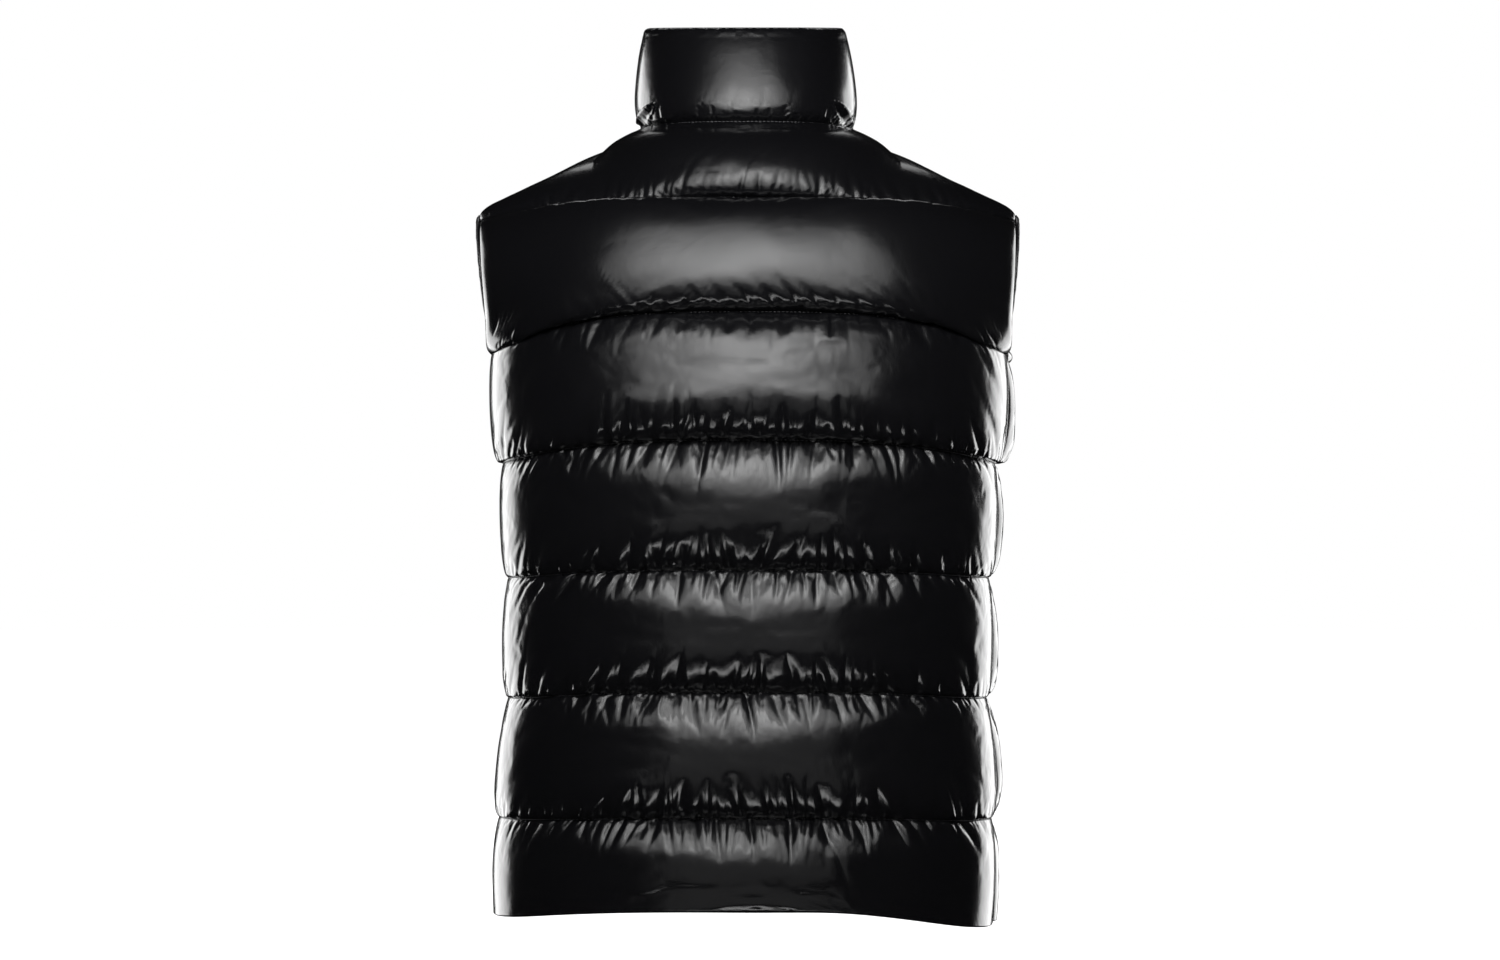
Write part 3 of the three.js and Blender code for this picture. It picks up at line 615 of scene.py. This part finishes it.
def channels_of(grid, normals, row_counts, is_back, seed):
    """Splits a back or front grid into its channels, the top one last."""
    made = []
    start = 0
    rises = [hem_rise] + [gathered_rise] * 3 + [sunk_rise] * 2 + [top_rise]
    for channel in range(TOP_LEVEL + 1):
        rows = row_counts["top"] if channel == TOP_LEVEL else row_counts["back" if is_back else "front"]
        part = slice(start, start + rows)
        amount, calm = body_amount(grid.shape[1], channel, is_back)
        shares = row_shares(rows)
        calm = np.broadcast_to(calm, (rows, grid.shape[1]))
        sides = (LOWER_SIDE[channel], UPPER_SIDE[channel])
        profile = (amount[None, :], seed + channel, rises[channel], calm, sides)
        made.append(Channel(grid[part], normals[part], shares, *profile))
        start += rows - 1
    return made


def joined(parts):
    """Neighbouring channels as one grid, their shared rows only once."""
    return np.concatenate([part if i == 0 else part[1:] for i, part in enumerate(parts)])


def seam_rows_of(channels):
    return np.concatenate([[0], np.cumsum([len(c.shares) - 1 for c in channels])])


def shared_normals(first, second):
    """Gives two seamed edges the same outward direction, fading into each panel."""
    both = unit(first[0] + second[0])
    for edge in (first, second):
        turn = both - edge[0]
        for step, row in enumerate(edge):
            row += turn * max(0, 1 - step / 12)
            row[:] = unit(row)


def garment(fine, row_counts):
    """The base grids and outward directions of the back, the left front, the right front and the collar."""
    back = drape(back_grid(fine, row_counts["back"], row_counts["top"]))
    left_base = front_grid(fine, row_counts["front"], row_counts["top"])
    right_base = (left_base * [-1, 1, 1])[:, ::-1]
    left, right = drape(left_base), drape(right_base)
    collar = drape(collar_grid(fine, row_counts["collar"]))
    grids = {"back": back, "left": left, "right": right, "collar": collar}
    normals = {
        "back": grid_normals(back, -1),
        "left": grid_normals(left, 1),
        "right": grid_normals(right, 1),
        "collar": grid_normals(collar, 1),
    }
    shoulder, neck = COLUMNS["shoulder"] * fine, COLUMNS["front_neck"] * fine
    turned = {name: field[::-1] for name, field in normals.items() if name != "collar"}
    shared_normals(turned["back"][:, : shoulder + 1], turned["right"][:, : shoulder + 1])
    shared_normals(turned["back"][:, -shoulder - 1 :], turned["left"][:, -shoulder - 1 :])
    ring = normals["collar"]
    shared_normals(turned["back"][:, shoulder:-shoulder][:, ::-1], ring[:, neck:-neck])
    shared_normals(turned["left"][:, : neck + 1], ring[:, : neck + 1])
    shared_normals(turned["right"][:, -neck - 1 :], ring[:, -neck - 1 :])
    for name, columns in (("left", [0]), ("right", [-1]), ("collar", [0, -1])):
        normals[name][:, columns, 0] = 0
        normals[name][:, columns] = unit(normals[name][:, columns])
    return grids, normals


def collar_channel(grid, normals, shares):
    across = np.linspace(0, 1, grid.shape[1])
    edges = roll_up(np.minimum(across, 1 - across), EDGE_ROLL["collar"])
    amount = PUFF["collar"] * edges + (1 - edges) * EDGE_RISE
    calm = np.broadcast_to(0.8 * edges, grid.shape[:2])
    sides = ("collar_base", "collar_top")
    return [Channel(grid, normals, shares, amount[None, :], 70, collar_rise, calm, sides)]


def all_channels(row_counts):
    grids, normals = garment(FINE, row_counts)
    made = {
        "back": channels_of(grids["back"], normals["back"], row_counts, True, 10),
        "left": channels_of(grids["left"], normals["left"], row_counts, False, 30),
        "right": channels_of(grids["right"], normals["right"], row_counts, False, 50),
        "collar": collar_channel(grids["collar"], normals["collar"], row_shares(row_counts["collar"])),
    }
    return grids, normals, made


FLIPPED = {"back": True, "left": False, "right": False, "collar": False}


def blown_channels(name, channels, shown):
    """The outer points of a panel's finished channels, from the simulated cloth."""
    step = 1 if name in ("back", "collar") else 2
    start = [c.grid + c.normals * c.heights()[..., None] for c in channels]
    loose = joined([c.looseness() for c in channels])[:, ::step]
    seams = seam_rows_of(channels)
    whole = joined(start)
    moves = simulate(whole[:, ::step], seams, loose, FLIPPED[name])
    if step == 2:
        moves = finer_columns(moves)
    blown = whole + moves
    parts = [blown[seams[i] : seams[i + 1] + 1] for i in range(len(channels))]
    return [finer_rows(part, c.shares, s.shares) for part, c, s in zip(parts, channels, shown)]


def finished_shells():
    """The outer points of every channel in the finished mesh."""
    grids, normals, shown = all_channels(SHOWN_ROWS)
    shells = {}
    _, _, rough = all_channels(CLOTH_ROWS)
    for name, channels in rough.items():
        shells[name] = blown_channels(name, channels, shown[name])
    return grids, normals, shown, shells


# The two small tucks at the collar's base, as seen from behind: centre and direction of x and z
TUCKS = (((90.9, 9.1), (0.674, -0.738)), ((-81.8, 9.6), (-0.62, -0.785)))
TUCK = {"long": 14.5, "short": 4.6, "deep": 4.2, "rim": 1.5, "back_of_y": -40}


def with_tucks(points, normals):
    """Pinches a leaf-shaped hollow with a raised rim into the collar at each tuck."""
    out = points.copy()
    for centre, way in TUCKS:
        across = (points[..., 0] - centre[0], points[..., 2] - centre[1])
        along = (across[0] * way[0] + across[1] * way[1]) / TUCK["long"]
        beside = np.abs(across[1] * way[0] - across[0] * way[1])
        leaf = beside / (TUCK["short"] * np.maximum(0.04, 1 - along**2))
        seen = (points[..., 1] > TUCK["back_of_y"]) & (np.abs(along) < 1.1)
        hollow = TUCK["deep"] * smooth((1.05 - leaf) / 0.8)
        rim = TUCK["rim"] * np.exp(-(((leaf - 1.2) / 0.22) ** 2)) * smooth((1.1 - np.abs(along)) / 0.2)
        out += normals * np.where(seen, rim - hollow, 0)[..., None]
    return out


# Materials
def node_material(name, color, roughness, **sockets):
    material = bpy.data.materials.new(name)
    material.use_nodes = True
    shader = material.node_tree.nodes["Principled BSDF"]
    shader.inputs["Base Color"].default_value = (*color, 1)
    shader.inputs["Roughness"].default_value = roughness
    for socket, value in sockets.items():
        shader.inputs[socket.replace("_", " ")].default_value = value
    return material, material.node_tree, shader


def noise_node(tree, scale, detail=3, distortion=0.0):
    coordinates = tree.nodes.new("ShaderNodeTexCoord")
    node = tree.nodes.new("ShaderNodeTexNoise")
    node.inputs["Scale"].default_value = scale
    node.inputs["Detail"].default_value = detail
    node.inputs["Distortion"].default_value = distortion
    tree.links.new(coordinates.outputs["Object"], node.inputs["Vector"])
    return node


def add_bump(tree, shader, layers):
    """layers: (height socket, strength, distance in metres), chained one on another."""
    last = None
    for height, strength, distance in layers:
        bump = tree.nodes.new("ShaderNodeBump")
        bump.inputs["Strength"].default_value = strength
        bump.inputs["Distance"].default_value = distance
        tree.links.new(height, bump.inputs["Height"])
        if last:
            tree.links.new(last.outputs["Normal"], bump.inputs["Normal"])
        last = bump
    tree.links.new(last.outputs["Normal"], shader.inputs["Normal"])


def spread(tree, socket, low, high):
    node = tree.nodes.new("ShaderNodeMapRange")
    node.inputs["To Min"].default_value = low
    node.inputs["To Max"].default_value = high
    tree.links.new(socket, node.inputs["Value"])
    return node.outputs["Result"]


def weave_node(tree, scale):
    """Fine crossing threads of the nylon."""
    coordinates = tree.nodes.new("ShaderNodeTexCoord")
    heights = []
    for direction in ("X", "Z"):
        wave = tree.nodes.new("ShaderNodeTexWave")
        wave.bands_direction = direction
        wave.inputs["Scale"].default_value = scale
        wave.inputs["Distortion"].default_value = 0.4
        tree.links.new(coordinates.outputs["Object"], wave.inputs["Vector"])
        heights.append(wave.outputs["Fac"])
    higher = tree.nodes.new("ShaderNodeMath")
    higher.operation = "MAXIMUM"
    for socket, height in zip(higher.inputs, heights):
        tree.links.new(height, socket)
    return higher.outputs["Value"]


def nylon_material(name, roughness, crinkle):
    material, tree, shader = node_material(
        name, (0.0011, 0.0011, 0.0013), roughness, IOR=1.5, Coat_Weight=0.3, Coat_Roughness=0.1
    )
    soft = noise_node(tree, 55, 4, 0.6)
    small = noise_node(tree, 260, 3)
    broad = noise_node(tree, 9, 2)
    layers = [
        (soft.outputs["Fac"], crinkle, 0.004),
        (small.outputs["Fac"], crinkle * 0.5, 0.0008),
        (weave_node(tree, 700), 0.12, 0.0001),
    ]
    add_bump(tree, shader, layers)
    rough = spread(tree, broad.outputs["Fac"], roughness - 0.05, roughness + 0.07)
    tree.links.new(rough, shader.inputs["Roughness"])
    return material


def thread_material():
    material, tree, shader = node_material("thread", (0.01, 0.01, 0.011), 0.4)
    add_bump(tree, shader, [(noise_node(tree, 2500, 2).outputs["Fac"], 0.3, 0.0002)])
    return material


def tape_material():
    material, tree, shader = node_material("zip_tape_cloth", (0.012, 0.012, 0.013), 0.75, Sheen_Weight=0.2)
    add_bump(tree, shader, [(weave_node(tree, 420), 0.5, 0.0003)])
    rough = spread(tree, noise_node(tree, 300, 3).outputs["Fac"], 0.65, 0.85)
    tree.links.new(rough, shader.inputs["Roughness"])
    return material


def hardware_material():
    material, tree, shader = node_material("black_metal", (0.03, 0.03, 0.033), 0.28, Metallic=0.85)
    scratches = noise_node(tree, 900, 4, 1.5)
    add_bump(tree, shader, [(scratches.outputs["Fac"], 0.08, 0.0002)])
    tree.links.new(spread(tree, scratches.outputs["Fac"], 0.2, 0.38), shader.inputs["Roughness"])
    return material


NYLON = nylon_material("glossy_nylon", 0.17, 0.07)
LINING = nylon_material("inner_nylon", 0.34, 0.1)
BINDING = nylon_material("binding_nylon", 0.24, 0.12)
THREAD = thread_material()
TAPE = tape_material()
METAL = hardware_material()


def dress(obj, material, body, nodes=()):
    """Gives a piece its material and body, and hides the CAD nodes that it replaces."""
    obj.data.materials.clear()
    obj.data.materials.append(material)
    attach(obj, body)
    if nodes:
        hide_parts(*nodes)


# The shells, each closed down to the wall's inner side along its free edges
NODE_OF = {"left": "front_left", "right": "front_right", "collar": "collar"}


def with_free_edges(points, inner, rows, columns):
    """Adds to the outer points the wall's inner side along the first or last rows and columns."""
    for row in rows:
        edge = inner[row : row + 1] if row == 0 else inner[-1:]
        points = np.concatenate([edge, points] if row == 0 else [points, edge])
        inner = np.concatenate([edge, inner] if row == 0 else [inner, edge])
    for column in columns:
        edge = inner[:, :1] if column == 0 else inner[:, -1:]
        points = np.concatenate([edge, points] if column == 0 else [points, edge], axis=1)
    return points


def add_shell(panel, channel, points, source):
    """One padded channel as a piece of its own."""
    is_top = panel != "collar" and channel == TOP_LEVEL
    node = NODE_OF.get(panel) or ("back_yoke" if is_top else "back_panel")
    rows = {"collar": [-1]}.get(panel, [0] if channel == 0 else [])
    columns = {"back": [], "left": [0], "right": [-1], "collar": [0, -1]}[panel]
    if channel >= UNDERARM_LEVEL and panel != "collar":
        columns = [0, -1]
    inner, ways = source.grid - source.normals * SKIN, source.normals
    if panel == "collar":
        points, inner, ways = finer_columns(points), finer_columns(inner), unit(finer_columns(ways))
        points = with_tucks(points, ways)
    points = with_free_edges(points, inner, rows, columns)
    name = f"{node}_channel_{channel + 1}" if panel != "collar" else "collar_channel"
    obj = mesh_object(name, points, grid_faces(*points.shape[:2], FLIPPED[panel]))
    dress(obj, NYLON, "vest", [node])


def add_inner(panel, grid, normals):
    """The plain inner side of a panel's wall."""
    steps_down, steps_along = 6, 10
    rows = np.unique(np.append(np.arange(0, grid.shape[0], steps_down), grid.shape[0] - 1))
    columns = np.arange(0, grid.shape[1], steps_along)
    points = (grid - normals * SKIN)[np.ix_(rows, columns)]
    obj = mesh_object(f"inner_side_{panel}", points, grid_faces(*points.shape[:2], not FLIPPED[panel]))
    nodes = [NODE_OF[panel]] if panel in NODE_OF else ["back_panel", "back_yoke"]
    dress(obj, LINING, "vest", nodes)


# Sewing: short thread strokes in the groove of each stitched line, in mm
STITCH = {"length": 2.5, "gap": 1.0, "radius": 0.34, "taper": 0.35, "lift": 0.15, "sides": 6}
GROOVE_LIFT = 0.1


def ring_faces(first, rings, sides):
    """Quads between neighbouring rings of points, the first point's number given."""
    faces = []
    for ring in range(rings - 1):
        a = first + ring * sides
        for k in range(sides):
            m = (k + 1) % sides
            faces.append([a + k, a + m, a + sides + m, a + sides + k])
    return faces


def strokes(name, lines):
    """lines: (points, outward directions). One joined mesh of stitches with thinner ends."""
    length, taper, sides = STITCH["length"], STITCH["taper"], STITCH["sides"]
    points, faces = [], []
    ring = np.radians(np.arange(sides) * 360 / sides)
    for line, ways in lines:
        along = lengths_along(line)
        starts = np.arange(1, along[-1] - length, length + STITCH["gap"])
        stations = starts[:, None] + np.array([0, taper, length - taper, length])
        way = unit(at_lengths(ways, along, stations))
        centre = at_lengths(line, along, stations)
        ahead = unit(centre[:, -1:] - centre[:, :1])
        side = unit(np.cross(ahead, way))
        swell = np.array([taper, 1, 1, taper])[None, :, None, None] * STITCH["radius"]
        circle = (
            side[:, :, None] * np.cos(ring)[None, None, :, None]
            + way[:, :, None] * np.sin(ring)[None, None, :, None]
        )
        rings = centre[:, :, None] + circle * swell + way[:, :, None] * STITCH["lift"]
        per_stitch = stations.shape[1] * sides
        for stitch in range(len(starts)):
            faces += ring_faces(len(points) + stitch * per_stitch, stations.shape[1], sides)
        points.extend(rings.reshape(-1, 3))
    obj = mesh_object(name, np.array(points), np.array(faces))
    dress(obj, THREAD, "vest")


def seam_lines(channels):
    """The stitched line under each channel, lifted to the groove."""
    lines = []
    for channel in channels:
        base = channel.grid[0] + channel.normals[0] * (SKIN + GROOVE_LIFT)
        lines.append((base, channel.normals[0]))
    return lines


# Armhole binding: its section reaches past the armhole's edge and over both sides of the wall, in mm
BINDING_LOOP = {"points": 420, "section": 16, "ahead": 3, "opening_deg": 165}
BINDING_OUT = {"middle": 2.3, "reach": 2.1, "square": 0.7, "pucker": 0.08}
BINDING_OVER = {"middle": 0.4, "reach": 4.4, "square": 0.6, "pucker": 0.12}
BINDING_PUCKER = {"step": 6, "share": 0.35}
BINDING_STITCH = {"over": 4.9, "out": 1.4}


def armhole_line(grids, normals, side):
    """The armhole's edge and its outward directions, up the back and down the front."""
    last = -1 if side > 0 else 0
    front = "left" if side > 0 else "right"

    def part(panel, rows):
        start = UNDERARM_LEVEL * (rows - 1)
        return grids[panel][start:, last], normals[panel][start:, last]

    back_line, back_ways = part("back", SHOWN_ROWS["back"])
    front_line, front_ways = part(front, SHOWN_ROWS["front"])
    line = np.concatenate([back_line, front_line[::-1][1:-1]])
    ways = np.concatenate([back_ways, front_ways[::-1][1:-1]])
    return line, ways


def closed_even(line, ways, count):
    loop = np.concatenate([line, line[:1]])
    turns = np.concatenate([ways, ways[:1]])
    along = lengths_along(loop)
    target = np.linspace(0, along[-1], count + 1)[:-1]
    return at_lengths(loop, along, target), unit(at_lengths(turns, along, target)), target


def add_binding(name, node, line, ways, side, seed):
    """A binding folded over the armhole's edge. Gives the line of its stitches."""
    count, sides, step = BINDING_LOOP["points"], BINDING_LOOP["section"], BINDING_LOOP["ahead"]
    centre, way, target = closed_even(line, ways, count)
    ahead = unit(np.roll(centre, -step, axis=0) - np.roll(centre, step, axis=0))
    out = unit(np.cross(ahead, way) * -side)
    rng = np.random.default_rng(seed)
    pucker = noise_line(rng, target[-1] + 5, BINDING_PUCKER["step"], target) * BINDING_PUCKER["share"]
    opening = BINDING_LOOP["opening_deg"]
    angle = np.radians(np.linspace(-opening, opening, sides))

    def swung(ways_here, size, turned):
        reach = size["middle"] + size["reach"] * power(turned, size["square"])
        return ways_here[:, None] * (reach[None, :, None] * (1 + size["pucker"] * pucker[:, None, None]))

    outward = swung(out, BINDING_OUT, np.cos(angle))
    over = swung(way, BINDING_OVER, np.sin(angle))
    points = centre[:, None] + outward + over
    index = np.arange(count * sides).reshape(count, sides)
    ahead_index = np.roll(index, -1, axis=0)
    quads = [index[:, :-1], index[:, 1:], ahead_index[:, 1:], ahead_index[:, :-1]]
    faces = np.stack(quads, axis=-1).reshape(-1, 4)
    if side > 0:
        faces = faces[:, ::-1]
    obj = mesh_object(name, points, faces)
    dress(obj, BINDING, "vest", [node])
    return centre + way * BINDING_STITCH["over"] + out * BINDING_STITCH["out"], way


# Zip teeth in mm: a tooth's plan as shares of its length and width, and its layers as level and swell
TOOTH = {"pitch": 2.9, "long": 3.6, "wide": 1.55, "thick": 2.2, "aside": 1.1}
TOOTH_PLAN = ((-0.5, -0.5), (0.3, -0.5), (0.5, -0.25), (0.5, 0.25), (0.3, 0.5), (-0.5, 0.5))
TOOTH_LAYERS = ((-0.5, 0.8), (-0.3, 1.0), (0.3, 1.0), (0.5, 0.75))


def add_teeth(line, ways):
    """Teeth of both sides, meshed, along the closed zip."""
    along = lengths_along(line)
    places = np.arange(2, along[-1] - 2, TOOTH["pitch"] / 2)
    centre = at_lengths(line, along, places)
    way = unit(at_lengths(ways, along, places))
    ahead = unit(np.gradient(centre, axis=0))
    side = unit(np.cross(ahead, way))
    corners, layers = len(TOOTH_PLAN), len(TOOTH_LAYERS)
    points, faces = [], []
    for i in range(len(places)):
        hand = 1 if i % 2 else -1
        base = len(points)
        for level, swell in TOOTH_LAYERS:
            for reach, offset in TOOTH_PLAN:
                points.append(
                    centre[i]
                    + side[i] * hand * (-TOOTH["aside"] + reach * TOOTH["long"] * swell)
                    + ahead[i] * offset * TOOTH["wide"] * swell
                    + way[i] * level * TOOTH["thick"]
                )
        faces += [face[::hand] for face in ring_faces(base, layers, corners)]
        for end, order in ((corners * (layers - 1), 1), (0, -1)):
            rim = [base + end + k for k in range(corners)][:: order * hand]
            faces.append(rim[:4])
            faces.append([rim[0], rim[3], rim[4], rim[5]])
    obj = mesh_object("zip_teeth", np.array(points), np.array(faces), smooth_faces=False)
    dress(obj, METAL, "vest", ["zip_chain"])


# Studio, in metres and watts
LOOK_AT = (0, 0, -0.3)


def area_light(name, power_watts, size, place, target, shape="RECTANGLE"):
    data = bpy.data.lights.new(name, "AREA")
    data.shape = shape
    data.size, data.size_y = size
    data.energy = power_watts
    light = bpy.data.objects.new(name, data)
    light.location = place
    light.rotation_euler = (Vector(target) - Vector(place)).to_track_quat("-Z", "Y").to_euler()
    light.visible_camera = False
    bpy.context.scene.collection.objects.link(light)


def around(azimuth, elevation, distance):
    """A place seen from the vest at an azimuth from the back (+Y) towards +X, in degrees."""
    a, e = math.radians(azimuth), math.radians(elevation)
    flat = distance * math.cos(e)
    x, y, z = LOOK_AT
    return (x + flat * math.sin(a), y + flat * math.cos(a), z + distance * math.sin(e))


# The softbox is brightest in its middle. Each layer: name, watts, width, height and height of its centre
SOFTBOX_Y = 1.05
SOFTBOX_LAYERS = (
    ("softbox_edge", 5.5, 1.7, 1.26, 0.38),
    ("softbox_outer", 12, 1.25, 0.92, 0.37),
    ("softbox_inner", 27, 0.92, 0.66, 0.36),
    ("softbox_middle", 20, 0.6, 0.42, 0.34),
)
# The other lights: name, watts, size, place and target
OTHER_LIGHTS = (
    ("low_softbox", 1.8, (0.75, 0.15), (0, 1.0, -1.3), (0, 0.1, -0.5)),
    ("faint_panel", 4.5, (2.6, 2.6), (0, 3.5, -0.3), LOOK_AT),
    ("rim_left", 38, (1.5, 2.1), around(130, -2, 2.4), LOOK_AT),
    ("rim_right", 38, (1.5, 2.1), around(-132, -2, 2.4), LOOK_AT),
    ("front_top", 3.5, (1.6, 0.6), around(180, 48, 2.6), LOOK_AT),
)
# What the reflections meet beside the lights, and what the camera sees behind the floor
DARK_ROOM = (0.004, 0.004, 0.004, 1)
WHITE = (1, 1, 1, 1)
FLOOR = {"radius": 9, "z": -0.79, "glow": 1.0}


def studio():
    world = bpy.data.worlds.new("studio")
    bpy.context.scene.world = world
    world.use_nodes = True
    tree = world.node_tree
    background = tree.nodes["Background"]
    path = tree.nodes.new("ShaderNodeLightPath")
    seen = tree.nodes.new("ShaderNodeMix")
    seen.data_type = "RGBA"
    seen.inputs["A"].default_value = DARK_ROOM
    seen.inputs["B"].default_value = WHITE
    tree.links.new(path.outputs["Is Camera Ray"], seen.inputs["Factor"])
    tree.links.new(seen.outputs["Result"], background.inputs["Color"])
    for name, watts, width, height, z in SOFTBOX_LAYERS:
        area_light(name, watts, (width, height), (0, SOFTBOX_Y, z), (0, 0, z), "ELLIPSE")
    for light in OTHER_LIGHTS:
        area_light(*light)


def floor():
    place = (0, 0, FLOOR["z"])
    bpy.ops.mesh.primitive_circle_add(vertices=96, radius=FLOOR["radius"], fill_type="NGON", location=place)
    obj = bpy.context.object
    obj.name = "floor"
    material, tree, shader = node_material("pale_floor", (0.93, 0.93, 0.93), 0.9)
    tint = spread(tree, noise_node(tree, 3, 2).outputs["Fac"], 0.88, 0.92)
    tree.links.new(tint, shader.inputs["Roughness"])
    shader.inputs["Emission Color"].default_value = WHITE
    shader.inputs["Emission Strength"].default_value = FLOOR["glow"]
    obj.data.materials.append(material)
    obj.visible_glossy = False


# The photograph's view: 1500 pixels of 0.87 mm across, at the vest's middle
CAMERA = {"place": (-0.0009, 3.2, -0.3045), "sensor": 36, "frame_width": 1.5 * 0.87}


def camera():
    data = bpy.data.cameras.new("camera")
    obj = bpy.data.objects.new("camera", data)
    bpy.context.scene.collection.objects.link(obj)
    obj.location = CAMERA["place"]
    obj.rotation_euler = (math.radians(90), 0, math.radians(180))
    data.sensor_width = CAMERA["sensor"]
    data.lens = CAMERA["sensor"] * CAMERA["place"][1] / CAMERA["frame_width"]
    bpy.context.scene.camera = obj


# Build everything. The teeth end this many rows below the collar's top
ZIP_STOP_ROWS = 8

grids, normals, channels, shells = finished_shells()
for panel, parts in shells.items():
    for number, points in enumerate(parts):
        add_shell(panel, number, points, channels[panel][number])
    add_inner(panel, grids[panel], normals[panel])
    strokes(f"stitches_{panel}", seam_lines(channels[panel][1:] or channels[panel]))

for side, name in ((1, "left"), (-1, "right")):
    node = f"armhole_binding_{name}"
    edge, ways = armhole_line(grids, normals, side)
    sewn = add_binding(f"{node}_cloth", node, edge, ways, side, 90 + side)
    strokes(f"stitches_{node}", [sewn])

front_edge, front_ways = grids["left"][:, 0], normals["left"][:, 0]
collar_edge, collar_ways = grids["collar"][:, 0], normals["collar"][:, 0]
on_collar = slice(1, -ZIP_STOP_ROWS)
zip_line = np.concatenate([front_edge, collar_edge[on_collar]]) - [ZIP_EDGE, 0, 0]
zip_ways = np.concatenate([front_ways, collar_ways[on_collar]])
add_teeth(zip_line, zip_ways)

for node_name, material in (
    ("zip_tape_left", TAPE),
    ("zip_tape_right", TAPE),
    ("zip_slider", METAL),
    ("zip_pull_tab", METAL),
):
    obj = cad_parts[node_name]
    obj.data.materials.clear()
    obj.data.materials.append(material)
    if material is METAL:
        bevel = obj.modifiers.new("soft_edges", "BEVEL")
        bevel.width = 0.00035
        bevel.segments = 3

studio()
floor()
camera()
bpy.context.scene.view_settings.view_transform = "Standard"
